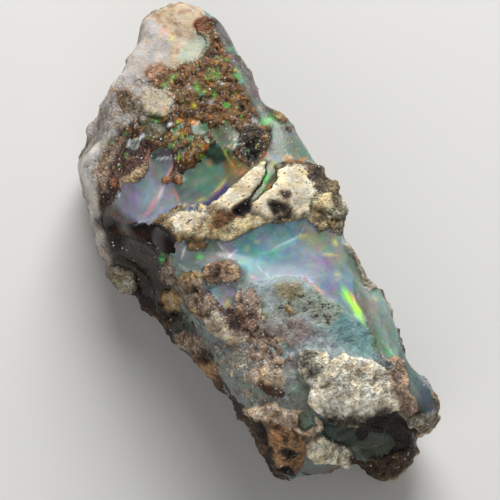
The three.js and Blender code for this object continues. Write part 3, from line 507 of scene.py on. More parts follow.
        (196, 296), (222, 300), (240, 312), (258, 316), (256, 334), (228, 326), (204, 316),
    ]),
    "low skin": ("pink brown", 0.1, 0.1, (0.32, 0.2, 133), WHOLE, [
        (232, 345), (262, 330), (292, 340), (300, 362), (286, 392), (252, 384), (236, 366),
    ]),
    "pale streak": ("pale grains", 0.16, 0.35, None, WHOLE, [
        (206, 318), (216, 321), (223, 329), (245, 338), (242, 345), (229, 343), (218, 336), (209, 328),
    ]),
    "bright pane": ("small opal", 0.0, 0.3, None, WHOLE, [
        (210, 288), (224, 285), (236, 291), (235, 302), (227, 310), (212, 296),
    ]),
    "low left": ("low grey opal", 0.0, 0.4, None, LOW, [
        (60, 0), (200, 10), (330, 50), (420, 130), (480, 150), (560, 90), (600, 180), (610, 260),
        (600, 330), (520, 400), (400, 380), (300, 390), (230, 350), (150, 300),
    ]),
    "grain drift": ("pale grains", 0.06, 0.6, (0.3, 0.05, 130.0), WHOLE, [
        (214, 344), (236, 346), (252, 352), (256, 362), (240, 366), (222, 361),
    ]),
    "low drift": ("pale grains", 0.06, 0.5, (0.35, 0.1, 131.0), WHOLE, [
        (222, 362), (244, 366), (262, 388), (290, 392), (296, 406), (270, 408), (244, 394),
    ]),
    "brown drift": ("pink brown", 0.1, 0.5, None, WHOLE, [
        (249, 346), (262, 345), (275, 353), (283, 364), (277, 371), (264, 367), (253, 358),
    ]),
    "rose lump": ("low pale crust", 0.16, 0.5, None, WHOLE, [
        (249, 369), (260, 365), (272, 370), (277, 380), (270, 388), (257, 383),
    ]),
    "red shade": ("red brown", 0.04, 0.4, None, WHOLE, [
        (260, 385), (284, 390), (281, 397), (267, 394),
    ]),
    "cream grains": ("pale grains", 0.14, 0.35, None, WHOLE, [
        (270, 372), (280, 371), (288, 379), (285, 388), (275, 387),
    ]),
    "low crust": ("grainy cream", 0.3, 0.35, None, LOW, [
        (560, 80), (600, 55), (730, 75), (725, 115), (780, 95), (800, 65), (830, 100), (900, 95),
        (1000, 150), (1040, 110), (1090, 95), (1130, 150), (1150, 270), (1230, 400), (1180, 410),
        (1100, 380), (880, 445), (780, 455), (700, 440), (640, 400), (600, 350), (625, 260), (580, 230),
        (550, 170),
    ]),
    "low crust dark": ("dark grains", 0.27, 0.4, None, LOW, [
        (600, 60), (650, 75), (640, 130), (680, 150), (640, 200), (600, 230), (560, 190), (550, 100),
    ]),
    "low crust pink": ("pink crust", 0.28, 0.5, None, LOW, [
        (1050, 110), (1090, 95), (1135, 150), (1155, 270), (1235, 400), (1170, 405), (1110, 350),
        (1080, 270),
    ]),
    "low crust shade": ("shaded grains", 0.26, 0.35, None, LOW, [
        (700, 445), (880, 425), (1040, 385), (1040, 410), (850, 490), (720, 475),
    ]),
    "end glass": ("bottle green", 0.0, 0.3, None, LOW, [
        (690, 470), (900, 480), (900, 560), (830, 590), (700, 530),
    ]),
    # Painted shade in the cavity at the low end.
    "end cavity": ("cavity painted shade", -0.35, 0.4, None, LOW, [
        (1225, 470), (1215, 560), (1150, 640), (1040, 670), (940, 660), (880, 600), (870, 540),
        (890, 480), (960, 440), (1110, 390), (1180, 415),
    ]),
    "end glimmer": ("cavity glimmer", -0.1, 0.6, None, LOW, [
        (890, 580), (960, 530), (1060, 530), (1100, 570), (1070, 640), (980, 660), (910, 640),
    ]),
    "end cream": ("end pale", 0.2, 0.3, None, LOW, [
        (595, 640), (605, 580), (640, 545), (690, 535), (760, 580), (830, 600), (870, 650), (850, 690),
        (640, 690),
    ]),
    "end patches": ("low pale crust", 0.2, 0.25, None, LOW, [
        (260, 390), (340, 370), (430, 370), (520, 400), (610, 400), (680, 450), (690, 500), (640, 540),
        (560, 530), (400, 480),
    ]),
    "end green": ("green hole", -0.1, 0.2, None, LOW, [
        (545, 420), (590, 400), (640, 430), (645, 480), (600, 510), (555, 480),
    ]),
    "end rust": ("rust lump", 0.2, 0.3, None, LOW, [
        (380, 460), (600, 545), (580, 700), (520, 760), (460, 720), (420, 640),
    ]),
    "end dark": ("dark brown", 0.0, 0.3, None, LOW, [
        (1180, 420), (1240, 400), (1290, 440), (1280, 500), (1230, 520), (1200, 480),
    ]),
    "end foot": ("wall brown", 0.0, 0.4, None, WHOLE, [
        (350, 454), (364, 462), (402, 456), (420, 444), (436, 426), (444, 440), (430, 464), (404, 482),
        (376, 486), (356, 474),
    ]),
    "end knob": ("grey tan rock", 0.1, 0.3, None, LOW, [
        (1310, 400), (1340, 450), (1330, 510), (1270, 530), (1240, 480), (1250, 420),
    ]),
    # Dark glass under the lip, laid darker as painted shade.
    "left wall painted shade": ("wall glass in painted shade", 0.0, 0.5, None, WHOLE, [
        (100, 222), (116, 230), (135, 236), (168, 254), (173, 262), (173, 285), (180, 305), (184, 326),
        (138, 292), (106, 258), (99, 240),
    ]),
    "rim foot": ("white crust", 0.15, 0.5, None, WHOLE, [
        (90, 232), (94, 248), (105, 272), (114, 284), (124, 293), (130, 290), (113, 267), (103, 242),
        (101, 230),
    ]),
    # The lip is dark glass, laid near black as painted shade.
    "lip": ("lip black in painted shade", 0.12, 0.16, None, WHOLE, [
        (104, 218), (110, 217), (124, 224), (141, 223), (161, 228), (168, 232), (173, 238), (175, 247),
        (174, 254), (166, 253), (147, 242), (116, 233), (106, 228),
    ]),
    # Painted reflection in red on the lip.
    "lip glow": ("lip red painted reflection", 0.12, 0.6, None, WHOLE, [
        (146, 236), (166, 242), (170, 248), (165, 251), (148, 241),
    ]),
    # Painted reflection in amber along the lip.
    "lip amber painted reflection line": ("lip amber painted reflection", 0.12, 0.3, None, WHOLE, [
        (114, 230), (141, 234), (141, 237), (131, 236),
    ]),
    "wall lump one": ("grey tan rock", 0.2, 0.5, None, LEFT, [
        (190, 690), (230, 680), (290, 710), (300, 760), (270, 800), (220, 770), (180, 730),
    ]),
    "wall lump two": ("pink brown", 0.25, 0.25, None, LEFT, [
        (470, 650), (495, 700), (495, 750), (460, 770), (425, 740), (440, 660),
    ]),
    "wall lump three": ("olive rock", 0.2, 0.4, None, LEFT, [
        (440, 800), (500, 790), (525, 840), (510, 890), (450, 880), (430, 840),
    ]),
    "wall lump four": ("pink brown", 0.2, 0.4, None, LEFT, [
        (490, 1000), (560, 980), (630, 1010), (640, 1060), (580, 1080), (510, 1050),
    ]),
    "wall lump five": ("rust lump", 0.2, 0.4, None, LEFT, [
        (610, 1140), (680, 1130), (710, 1170), (680, 1210), (620, 1180),
    ]),
}

# ---- Lumps and pits, laid over the areas ----
# name: finish, middle on the plane, half sizes, turn in degrees, rise
LUMPS = {
    # The hole and the crust pit are laid dark as painted shade.
    "hole": ("cavity painted shade", (0.15, 5.35), (0.3, 0.38), 20, -0.45),
    "crust pit": ("cavity painted shade", (-1.7, -1.3), (0.22, 0.16), 20, -0.25),
    "saddle lump": ("tan crust", (-1.15, -1.35), (0.5, 0.35), -10, 0.34),
    "cluster lump 1": ("pink brown", (-3.1, -2.85), (0.42, 0.36), 10, 0.26),
    "cluster lump 2": ("pink brown", (-2.3, -3.15), (0.4, 0.34), -30, 0.26),
    "cluster lump 3": ("pale grains", (-1.85, -3.75), (0.36, 0.3), -20, 0.24),
    "cluster lump 4": ("pink brown", (-0.15, -3.05), (0.42, 0.42), 0, 0.24),
    "cluster lump 5": ("pale grains", (-1.15, -4.95), (0.5, 0.26), -25, 0.26),
    "knob speck": ("brown knob", (2.08, 6.75), (0.18, 0.12), -40, 0.12),
    "knob blob": ("grey tan rock", (4.7, 2.3), (0.45, 0.4), 0, 0.42),
    "knob blob 2": ("brown knob", (4.6, 3.4), (0.42, 0.4), 0, 0.42),
    "knob blob 3": ("brown knob", (3.7, 4.3), (0.45, 0.3), -20, 0.42),
    "knob blob 4": ("pale olive", (4.0, 2.6), (0.35, 0.4), 0, 0.4),
    "grey pebble": ("smoky glass", (7.45, -6.5), (0.36, 0.3), 0, 0.35),
    "rust lump 1": ("rust lump", (1.7, -10.4), (0.5, 0.4), 20, 0.32),
    "rust lump 2": ("rust lump", (2.5, -10.9), (0.5, 0.45), -20, 0.34),
    "rust lump 3": ("rust lump", (1.9, -11.7), (0.5, 0.5), 0, 0.34),
    # The rust pits are laid dark as painted shade.
    "rust pit 1": ("cavity painted shade", (2.2, -11.2), (0.3, 0.16), -20, -0.1),
    "rust pit 2": ("cavity painted shade", (2.0, -12.1), (0.28, 0.15), -20, -0.1),
    "cavity lip": ("grey tan rock", (8.9, -9.5), (0.5, 0.3), -40, 0.1),
}

# ---- Play of colour, with painted highlights and pale scratch lines in white ----
LIME = (150, 235, 30)
YELLOW = (225, 215, 60)
ORANGE = (250, 150, 50)
ROSE = (226, 108, 96)
GREEN = (60, 200, 80)
JADE = (70, 180, 130)
AQUA = (80, 170, 180)
BLUE = (80, 90, 200)
# White for painted highlights and a few pale scratch lines.
HIGHLIGHT_AND_SCRATCH_WHITE = (225, 230, 235)
AMBER = (190, 110, 40)
LEAF = (80, 165, 55)
VIOLET = (140, 90, 170)
# hue, middle on the plane, half length, half width, turn in degrees, strength
GLEAMS = [
    (LIME, (5.78, -3.05), 1.0, 0.2, -62, 1.5),
    (LIME, (5.98, -3.35), 0.6, 0.2, -62, 1.4),
    (LIME, (5.5, -2.7), 0.7, 0.12, -62, 0.8),
    (LIME, (5.3, -2.75), 0.5, 0.06, -62, 0.5),
    (LIME, (5.15, -2.55), 0.45, 0.05, -62, 0.35),
    (YELLOW, (5.85, -2.9), 0.5, 0.1, -62, 1.5),
    (ORANGE, (5.72, -2.55), 0.28, 0.1, -62, 0.8),
    (LIME, (6.15, -3.75), 0.3, 0.1, -62, 0.6),
    (YELLOW, (4.45, -0.22), 0.42, 0.1, -4, 0.55),
    (YELLOW, (4.75, 0.45), 0.2, 0.13, -40, 0.5),
    (YELLOW, (4.9, -1.4), 0.22, 0.22, 0, 0.35),
    (YELLOW, (2.95, 0.8), 0.3, 0.12, 10, 0.35),
    (ORANGE, (3.72, -2.1), 0.32, 0.1, -36, 0.75),
    (ORANGE, (3.95, -2.28), 0.16, 0.08, -40, 0.75),
    (ROSE, (3.3, -1.8), 0.4, 0.14, -34, 0.3),
    (JADE, (1.3, 0.0), 0.55, 0.12, 18, 0.4),
    (JADE, (2.1, 0.3), 0.6, 0.06, 22, 0.5),
    (JADE, (0.15, 0.72), 0.25, 0.16, 20, 0.45),
    (YELLOW, (-0.2, 0.1), 0.16, 0.16, 0, 0.3),
    (YELLOW, (0.4, 0.5), 0.2, 0.12, 0, 0.3),
    (AQUA, (-0.1, -0.8), 0.4, 0.2, 30, 0.35),
    (GREEN, (0.0, -1.05), 0.2, 0.2, 0, 0.25),
    (ORANGE, (0.18, -1.5), 0.16, 0.12, 0, 0.25),
    (HIGHLIGHT_AND_SCRATCH_WHITE, (0.5, -0.95), 0.3, 0.04, -55, 0.5),
    (HIGHLIGHT_AND_SCRATCH_WHITE, (1.0, -1.4), 0.32, 0.04, -45, 0.6),
    (HIGHLIGHT_AND_SCRATCH_WHITE, (2.1, 0.5), 0.8, 0.035, 24, 0.35),
    (HIGHLIGHT_AND_SCRATCH_WHITE, (2.9, 1.1), 0.4, 0.035, 60, 0.3),
    (GREEN, (-2.78, -0.42), 0.22, 0.16, 0, 0.55),
    (AQUA, (-2.0, -2.2), 0.25, 0.16, 10, 0.5),
    (YELLOW, (-1.3, -2.95), 0.22, 0.14, 60, 0.45),
    (ORANGE, (-1.15, -3.15), 0.14, 0.1, 40, 0.4),
    (GREEN, (-1.75, -2.55), 0.18, 0.14, 0, 0.3),
    (VIOLET, (-1.0, -2.4), 0.2, 0.14, 0, 0.3),
    (AMBER, (-2.3, 4.85), 0.2, 0.15, 0, 0.5),
    (HIGHLIGHT_AND_SCRATCH_WHITE, (-3.7, -0.15), 0.35, 0.06, 70, 0.7),
    (HIGHLIGHT_AND_SCRATCH_WHITE, (-1.5, 0.1), 0.35, 0.06, -45, 0.6),
    (HIGHLIGHT_AND_SCRATCH_WHITE, (-0.95, -0.2), 0.35, 0.06, 42, 0.6),
    (ROSE, (-5.5, 2.55), 0.75, 0.13, 60, 0.42),
    (HIGHLIGHT_AND_SCRATCH_WHITE, (-5.05, 3.2), 0.5, 0.16, 62, 0.42),
    (HIGHLIGHT_AND_SCRATCH_WHITE, (-4.75, 5.05), 0.45, 0.08, 2, 0.7),
    (HIGHLIGHT_AND_SCRATCH_WHITE, (-6.0, 6.3), 0.2, 0.14, 30, 1.0),
    (HIGHLIGHT_AND_SCRATCH_WHITE, (-5.9, 1.6), 0.6, 0.08, 20, 0.2),
    (AQUA, (-5.75, 3.0), 0.35, 0.25, 60, 0.3),
    (VIOLET, (-6.5, 3.0), 0.25, 0.2, 0, 0.3),
    (VIOLET, (-6.9, 3.5), 0.3, 0.2, 30, 0.15),
    (AQUA, (-6.25, 3.6), 0.2, 0.14, 0, 0.25),
    (HIGHLIGHT_AND_SCRATCH_WHITE, (-7.3, 3.05), 0.14, 0.05, 65, 0.7),
    (ROSE, (-5.65, 2.2), 0.5, 0.12, 50, 0.35),
    (ROSE, (-4.1, 3.05), 0.5, 0.09, -66, 0.5),
    (ROSE, (-5.65, 5.05), 0.35, 0.1, -70, 0.5),
    (ROSE, (-4.45, 4.35), 0.3, 0.09, 60, 0.6),
    (GREEN, (-5.3, 3.3), 0.22, 0.18, 0, 0.2),
    (YELLOW, (-2.7, 2.75), 0.35, 0.14, 25, 0.25),
    (YELLOW, (-1.75, 3.6), 0.7, 0.07, 48, 0.4),
    (ORANGE, (-1.02, 4.75), 0.2, 0.1, -60, 0.7),
    (ORANGE, (-0.8, 4.4), 0.3, 0.2, 0, 0.16),
    (YELLOW, (-1.35, 5.3), 0.45, 0.08, -62, 0.4),
    (ORANGE, (-1.15, 5.75), 0.2, 0.12, 0, 0.3),
    (BLUE, (-1.3, 3.7), 0.5, 0.15, 50, 0.15),
    (ROSE, (-1.75, 3.4), 0.6, 0.07, 48, 0.3),
    (GREEN, (0.9, 3.95), 0.3, 0.15, 70, 0.9),
    (GREEN, (0.7, 3.3), 0.4, 0.14, 55, 0.35),
    (YELLOW, (1.2, 4.65), 0.3, 0.14, 60, 0.4),
    (ORANGE, (1.05, 3.35), 0.2, 0.14, 40, 0.25),
    (ORANGE, (2.1, 5.05), 0.3, 0.16, -20, 0.5),
    (ORANGE, (2.8, 4.95), 0.3, 0.14, 30, 0.4),
    (BLUE, (1.4, 5.1), 0.25, 0.2, 0, 0.3),
    (GREEN, (0.95, 7.15), 0.4, 0.28, 20, 0.5),
    (LIME, (1.1, 7.35), 0.25, 0.15, 30, 0.25),
    (ROSE, (-0.5, 4.4), 0.3, 0.2, 40, 0.3),
    (ROSE, (0.85, 5.25), 0.2, 0.16, 60, 0.4),
    (HIGHLIGHT_AND_SCRATCH_WHITE, (0.3, 7.15), 0.3, 0.14, -60, 0.6),
    (HIGHLIGHT_AND_SCRATCH_WHITE, (-0.9, 5.85), 0.38, 0.06, 5, 0.8),
    (HIGHLIGHT_AND_SCRATCH_WHITE, (-0.8, 6.15), 0.3, 0.05, 8, 0.6),
    (ROSE, (0.75, 5.2), 0.2, 0.14, 40, 0.3),
    (LEAF, (-4.4, 9.45), 0.16, 0.14, 0, 0.7),
    (LEAF, (-4.7, 9.0), 0.22, 0.16, 10, 0.8),
    (GREEN, (-2.9, 8.95), 0.2, 0.16, -40, 0.75),
    (JADE, (-2.7, 8.65), 0.18, 0.14, -40, 0.65),
    (LEAF, (-2.0, 8.6), 0.16, 0.2, 0, 0.75),
    (LEAF, (-1.3, 8.0), 0.2, 0.16, 0, 0.8),
    (GREEN, (-0.7, 9.65), 0.24, 0.14, -30, 0.6),
    (JADE, (-0.5, 9.4), 0.14, 0.12, 0, 0.6),
    (GREEN, (-2.0, 9.75), 0.35, 0.28, 0, 0.3),
    (ORANGE, (-2.15, 9.2), 0.2, 0.16, 0, 0.3),
    (ORANGE, (-3.1, 7.05), 0.25, 0.14, 0, 0.7),
    (ORANGE, (-3.8, 7.15), 0.2, 0.2, 0, 0.45),
    (ORANGE, (-3.75, 6.5), 0.3, 0.16, 20, 0.45),
    (LIME, (-3.75, 6.35), 0.14, 0.1, 0, 0.7),
    (LIME, (-4.0, 7.05), 0.1, 0.08, 0, 0.9),
    (LIME, (-4.3, 5.8), 0.14, 0.1, 30, 0.7),
    (LIME, (-2.7, 5.2), 0.12, 0.08, 30, 0.8),
    (LIME, (-3.9, 5.15), 0.14, 0.1, 30, 0.7),
    (HIGHLIGHT_AND_SCRATCH_WHITE, (-4.45, 6.95), 0.16, 0.12, 10, 1.0),
    (HIGHLIGHT_AND_SCRATCH_WHITE, (-3.35, 8.95), 0.2, 0.1, -20, 0.6),
    (HIGHLIGHT_AND_SCRATCH_WHITE, (-2.2, 8.15), 0.2, 0.14, -20, 0.3),
    (ROSE, (-1.15, 10.75), 0.16, 0.12, 30, 0.8),
    (JADE, (-1.1, 11.2), 0.2, 0.14, 30, 0.45),
    (JADE, (-1.8, 10.6), 0.2, 0.14, 0, 0.4),
    (YELLOW, (-4.35, 11.75), 0.25, 0.16, 30, 0.35),
    (ROSE, (-4.7, 12.1), 0.28, 0.16, -40, 0.3),
    (GREEN, (-4.9, -0.5), 0.12, 0.2, 0, 0.7),
    (YELLOW, (-3.1, -3.4), 0.2, 0.14, 0, 0.25),
    (YELLOW, (6.95, -2.7), 0.2, 0.14, 0, 0.3),
    (ROSE, (6.85, -3.1), 0.5, 0.2, -60, 0.22),
    (GREEN, (7.7, -5.7), 0.35, 0.2, -50, 0.25),
]

# ---- Noises that the relief and the hues are made of: wavelength, pattern number ----
BLOTCH = [(0.8, 11.0), (0.36, 12.0)]
VEIN = [(0.55, 21.0), (0.27, 22.0)]
WOBBLE = [(0.9, 31.0), (0.42, 32.0), (0.24, 33.0)]
CRUMB = [(0.55, 41.0), (0.3, 42.0)]
GRAIN_SIZE = 0.34
GRAIN_PATTERN = 43.0
LEDGE = [(0.9, 46.0), (0.45, 47.0)]
HUMMOCK = [(2.0, 51.0), (1.0, 52.0)]
SHELL = [(2.6, 61.0), (1.4, 62.0)]
PEBBLE = [(0.4, 66.0), (0.25, 67.0)]
TINT = [(1.3, 81.0), (0.6, 82.0)]

# ---- Studio ----
FLOOR_HUE = (196, 195, 192)
FLOOR_ROUGHNESS = 0.8
FLOOR_HALF_SIZE = 1.5
WORLD_HUE = (205, 205, 205)
WORLD_STRENGTH = 0.35
LIGHTS_AIM = (0.0, 0.0, 4.0)
# name: place, width, watts
SOFTBOXES = {
    "key softbox": ((105.0, 165.0, 160.0), 180.0, 0.98),
    "fill softbox": ((-110.0, -130.0, 110.0), 180.0, 0.16),
    "sparkle softbox": ((130.0, 150.0, 90.0), 60.0, 0.1),
}


def linear(hue):
    """Red, green and blue of 0 to 255 as a screen shows them, as light."""
    share = np.asarray(hue, float) / 255.0
    return np.where(share <= 0.04045, share / 12.92, ((share + 0.055) / 1.055) ** 2.4)


def smooth_step(start, end, value):
    """0 before the start, 1 past the end, and a soft rise between them."""
    t = np.clip((value - start) / (end - start), 0.0, 1.0)
    return t * t * (3.0 - 2.0 * t)


def noise_at(points, layers):
    """Sum of smooth noises, each half as strong as the one before it."""
    total = np.zeros(len(points))
    strength = 1.0
    for wavelength, pattern in layers:
        shift = Vector((pattern, -pattern, 2.0 * pattern))
        total += strength * np.array([noise.noise(p / wavelength + shift) for p in points])
        strength *= 0.5
    return total


def other_pattern(layers, step):
    """The same noises with patterns of their own."""
    return [(wavelength, pattern + step) for wavelength, pattern in layers]


def grain_heights(points):
    """Heights of angular grains: each cell stands at a height and a slope of its own."""
    GAP_WIDTH = 0.3
    GAP_DEPTH = 0.5
    SLOPE = 1.3
    LOTS_APART = 9.0
    shift = Vector((GRAIN_PATTERN, -GRAIN_PATTERN, 2.0 * GRAIN_PATTERN))
    middle = Vector((0.5, 0.5, 0.5))
    heights = np.empty(len(points))
    for i, point in enumerate(points):
        place = point / GRAIN_SIZE + shift
        distances, cells = noise.voronoi(place)
        lot = noise.cell_vector(cells[0] * LOTS_APART) - middle
        gap = max(0.0, GAP_WIDTH - (distances[1] - distances[0])) / GAP_WIDTH
        heights[i] = lot.x + SLOPE * lot.dot(place - cells[0]) - GAP_DEPTH * gap
    return heights


def on_plane(view, outline):
    """An outline's points in millimetres on the plane, across and up from its middle."""
    corner, enlargement = view
    pixels = np.array(outline) / enlargement + corner
    places = (pixels - FRAME_MIDDLE) * (1, -1) / PIXELS_PER_MM
    return np.round(places * PLACES_PER_MM) / PLACES_PER_MM


def outline_distance(view, outline, across, up):
    """Distance of plane points from an outline, negative inside it."""
    FAR = 1e9
    TINY = 1e-12
    corners = on_plane(view, outline)
    inside = np.zeros(len(across), bool)
    nearest = np.full(len(across), FAR)
    for (ax, ay), (bx, by) in zip(corners, np.roll(corners, -1, axis=0)):
        run, rise = bx - ax, by - ay
        t = np.clip(((across - ax) * run + (up - ay) * rise) / (run * run + rise * rise + TINY), 0, 1)
        nearest = np.minimum(nearest, (across - ax - t * run) ** 2 + (up - ay - t * rise) ** 2)
        if ay != by:
            crosses = (ay > up) != (by > up)
            inside ^= crosses & (across < run * (up - ay) / rise + ax)
    return np.where(inside, -1.0, 1.0) * np.sqrt(nearest)


def turned(turn, across, up):
    """Plane points along and aside from a direction given in degrees."""
    c, s = math.cos(math.radians(turn)), math.sin(math.radians(turn))
    return c * across + s * up, c * up - s * across


def oval_distance(middle, halves, turn, across, up):
    """Near enough the distance of plane points from an oval, negative inside it."""
    along, aside = turned(turn, across - middle[0], up - middle[1])
    return (np.hypot(along / halves[0], aside / halves[1]) - 1.0) * min(halves)


def read_rows(items, key, width, kind=float):
    """One value of every item of a mesh, as the rows of an array."""
    rows = np.empty(len(items) * width, kind)
    items.foreach_get(key, rows)
    return rows.reshape(-1, width)


class Stone:
    """The stone's surface as arrays, one row for each corner of its mesh."""

    def __init__(self, mesh):
        EDGE_ON, FACING = 0.04, 0.2
        FAINT_VEIN, FULL_VEIN = 0.22, 0.5
        count = len(mesh.vertices)
        self.place = read_rows(mesh.vertices, "co", 3) / MM
        self.normal = read_rows(mesh.vertices, "normal", 3)
        self.edges = read_rows(mesh.edges, "vertices", 2, int)
        self.points = [Vector(p) for p in self.place]
        from_eye = self.place - EYE
        scale = EYE_DISTANCE / (from_eye @ LOOK)
        self.across = scale * (from_eye @ ACROSS)
        self.up = scale * (from_eye @ UPWARD)
        self.seen = smooth_step(EDGE_ON, FACING, -(self.normal @ LOOK))
        self.blotch = np.clip(0.5 + noise_at(self.points, BLOTCH), 0, 1)
        self.vein = smooth_step(FAINT_VEIN, FULL_VEIN, noise_at(self.points, VEIN))
        self.rough = np.full(count, 0.5)
        for name in ("rock", "rise", "crumb", "fleck", "glint", "gleam", "hollow"):
            setattr(self, name, np.zeros(count))
        for name in ("rock_hue", "opal_hue", "gleam_hue", "fibre"):
            setattr(self, name, np.zeros((count, 3)))

    def lay(self, finish, distance, edge, rise, where=1.0):
        """Lays a finish where the distance is negative, over whatever is there already."""
        HUE_MARGIN = 0.15
        VEIN_SHARE = 0.8
        kind, main, second, vein, rough, crumb, fleck, glint = FINISHES[finish]
        amount = smooth_step(edge / 2, -edge / 2, distance) * where
        spread = smooth_step(edge / 2, -edge / 2, distance - HUE_MARGIN) * where
        blotch = self.blotch[:, None]
        hue = np.array(main) * (1 - blotch) + np.array(second) * blotch
        hue = hue + (np.array(vein) - hue) * self.vein[:, None] * VEIN_SHARE
        target = self.rock_hue if kind == "rock" else self.opal_hue
        target += (hue - target) * spread[:, None]
        sign = 1.0 if kind == "rock" else -1.0
        for layer, value in (
            (self.rock, sign), (self.rise, rise), (self.rough, rough),
            (self.crumb, crumb), (self.fleck, fleck), (self.glint, glint),
        ):
            layer += (value - layer) * amount

    def add_gleam(self, hue, amount, along, aside):
        """Adds one patch of play of colour, with the way its fibres run."""
        share = amount / np.maximum(self.gleam + amount, 1e-6)
        stronger = amount > self.gleam
        self.fibre[stronger, 0] = along[stronger]
        self.fibre[stronger, 1] = aside[stronger]
        self.gleam_hue += (np.array(hue, float) - self.gleam_hue) * share[:, None]
        self.gleam = np.maximum(self.gleam, amount)

    def neighbour_mean(self, places):
        """Mean place of the corners next to each corner."""
        near = self.edges.ravel()
        far = self.edges[:, ::-1].ravel()
        degree = np.bincount(near, minlength=len(places))
        sums = [np.bincount(near, weights=column[far], minlength=len(places)) for column in places.T]
        return np.stack(sums, axis=1) / degree[:, None]


def lay_sides(stone):
    """Finishes of what the outlines don't reach: walls, back and ends, in large patches."""
    EDGE = 0.25
    PATCH_SLOPE = 0.5
    x, y, _ = stone.place.T
    facing_right = stone.normal[:, 0]
    everywhere = np.full(len(x), -1.0)

    def cover(finish, rise, where=1.0):
        stone.lay(finish, everywhere, EDGE, rise, where)

    def patches(finish, wavelength, pattern, level, where=1.0, rise=0.0):
        """Patches of about half a wavelength, fewer and smaller at a higher level."""
        reach = noise_at(stone.points, [(wavelength, pattern), (wavelength / 3, pattern + 0.5)])
        stone.lay(finish, (level - reach) * wavelength * PATCH_SLOPE, EDGE, rise, where)

    cover("wall brown", 0.05)
    patches("pale grains", 3.4, 71.0, 0.1, rise=0.1)
    patches("side opal", 4.2, 72.0, 0.05, rise=-0.03)
    patches("cream brown", 2.6, 73.0, 0.22, rise=0.18)
    patches("rust lump", 2.0, 74.0, 0.3, rise=0.1)

    right = smooth_step(0.35, 0.7, facing_right) * smooth_step(-13.5, -12.0, y)
    cover("side opal", 0.0, right)
    patches("pale crust", 3.4, 75.0, 0.27, right, 0.14)
    patches("brown knob", 1.5, 76.0, 0.38, right, 0.14)

    # The side facing left gets dark rock, laid darker as painted shade.
    left = smooth_step(0.2, 0.6, -facing_right) * smooth_step(3.0, 0.5, y)
    cover("wall rock in painted shade", 0.0, left)
    patches("wall brown", 2.2, 77.0, 0.05, left, 0.12)
    patches("wall opal", 2.6, 78.0, 0.16, left)

    shoulder = smooth_step(0.1, 0.5, -facing_right) * smooth_step(2.0, 4.5, y)
    cover("white crust", 0.05, shoulder)
    patches("grey crust", 2.0, 79.0, 0.12, shoulder, 0.1)

    tip = smooth_step(11.5, 12.8, y) * smooth_step(2.6, 1.2, x)
    cover("tip lavender", 0.05, tip)


def lay_front(stone):
    """Finishes of the front, inside outlines that wander a little."""
    WANDER = 0.13
    ISLAND_SLOPE = 0.6
    LUMP_EDGE = 1.2
    across = stone.across + WANDER * noise_at(stone.points, WOBBLE)
    up = stone.up + WANDER * noise_at(stone.points, other_pattern(WOBBLE, 5.0))
    for finish, rise, edge, scatter, view, outline in AREAS.values():
        distance = outline_distance(view, outline, across, up)
        if scatter:
            wavelength, level, pattern = scatter
            islands = noise_at(stone.points, [(wavelength, pattern), (wavelength / 2.5, pattern + 0.5)])
            distance = np.maximum(distance, (level - islands) * wavelength * ISLAND_SLOPE)
        stone.lay(finish, distance, edge, rise, stone.seen)
    # The lumps' outlines wander twice as far.
    across, up = 2.0 * across - stone.across, 2.0 * up - stone.up
    for finish, middle, halves, turn, rise in LUMPS.values():
        distance = oval_distance(middle, halves, turn, across, up)
        stone.lay(finish, distance, LUMP_EDGE * min(halves), rise, stone.seen)


def light_gleams(stone):
    """Play of colour: streaks of one hue each, brightest along their middle."""
    FADE = 0.7
    for hue, middle, long_half, wide_half, turn, strength in GLEAMS:
        distance = oval_distance(middle, (long_half, wide_half), turn, stone.across, stone.up)
        amount = smooth_step(wide_half * FADE, -wide_half, distance) * stone.seen * strength
        stone.add_gleam(hue, amount, *turned(turn, stone.across, stone.up))


def scatter_gleams(stone):
    """Play of colour on the sides that the list of gleams doesn't reach."""
    HUES = (GREEN, JADE, AQUA, BLUE, ORANGE, YELLOW, ROSE)
    COUNT, SEED = 90, 7
    LONG_HALF, WIDE_HALF, STRENGTH = (0.3, 0.9), (0.08, 0.25), (0.2, 0.6)
    LOWEST = 0.4
    draw = random.Random(SEED)
    hidden = np.flatnonzero((stone.rock < -0.5) & (stone.seen < 0.3) & (stone.place[:, 2] > LOWEST))
    for _ in range(COUNT):
        middle = stone.place[hidden[draw.randrange(len(hidden))]]
        run = np.array([draw.gauss(0, 1), draw.gauss(0, 1), draw.gauss(0, 1)])
        run /= np.linalg.norm(run)
        long_half = draw.uniform(*LONG_HALF)
        wide_half = draw.uniform(*WIDE_HALF)
        away = stone.place - middle
        along = away @ run
        aside = np.linalg.norm(away - along[:, None] * run, axis=1)
        reach = np.hypot(along / long_half, aside / wide_half)
        amount = smooth_step(1.2, 0.0, reach) * (1 - stone.seen) * draw.uniform(*STRENGTH)
        stone.add_gleam(HUES[draw.randrange(len(HUES))], amount, along, aside)


def scatter_crown_glints(stone):
    """Small bright specks of colour between the grains of the crown: painted glints of its tiny
    crystals.
    """
    HUES = (LEAF, LEAF, LEAF, JADE, YELLOW, AMBER, AMBER, AMBER, AMBER, AMBER, HIGHLIGHT_AND_SCRATCH_WHITE, HIGHLIGHT_AND_SCRATCH_WHITE)
    COUNT, SEED = 170, 11
    HALF, STRENGTH = (0.05, 0.18), (0.25, 0.8)
    draw = random.Random(SEED)
    crown = outline_distance(WHOLE, CROWN, stone.across, stone.up)
    inside = np.flatnonzero((crown < 0) & (stone.seen > 0.9))
    for _ in range(COUNT):
        middle = stone.place[inside[draw.randrange(len(inside))]]
        half = draw.uniform(*HALF)
        away = np.linalg.norm(stone.place - middle, axis=1)
        amount = smooth_step(1.3, 0.3, away / half) * draw.uniform(*STRENGTH)
        stone.add_gleam(HUES[draw.randrange(len(HUES))], amount, stone.across, stone.up)


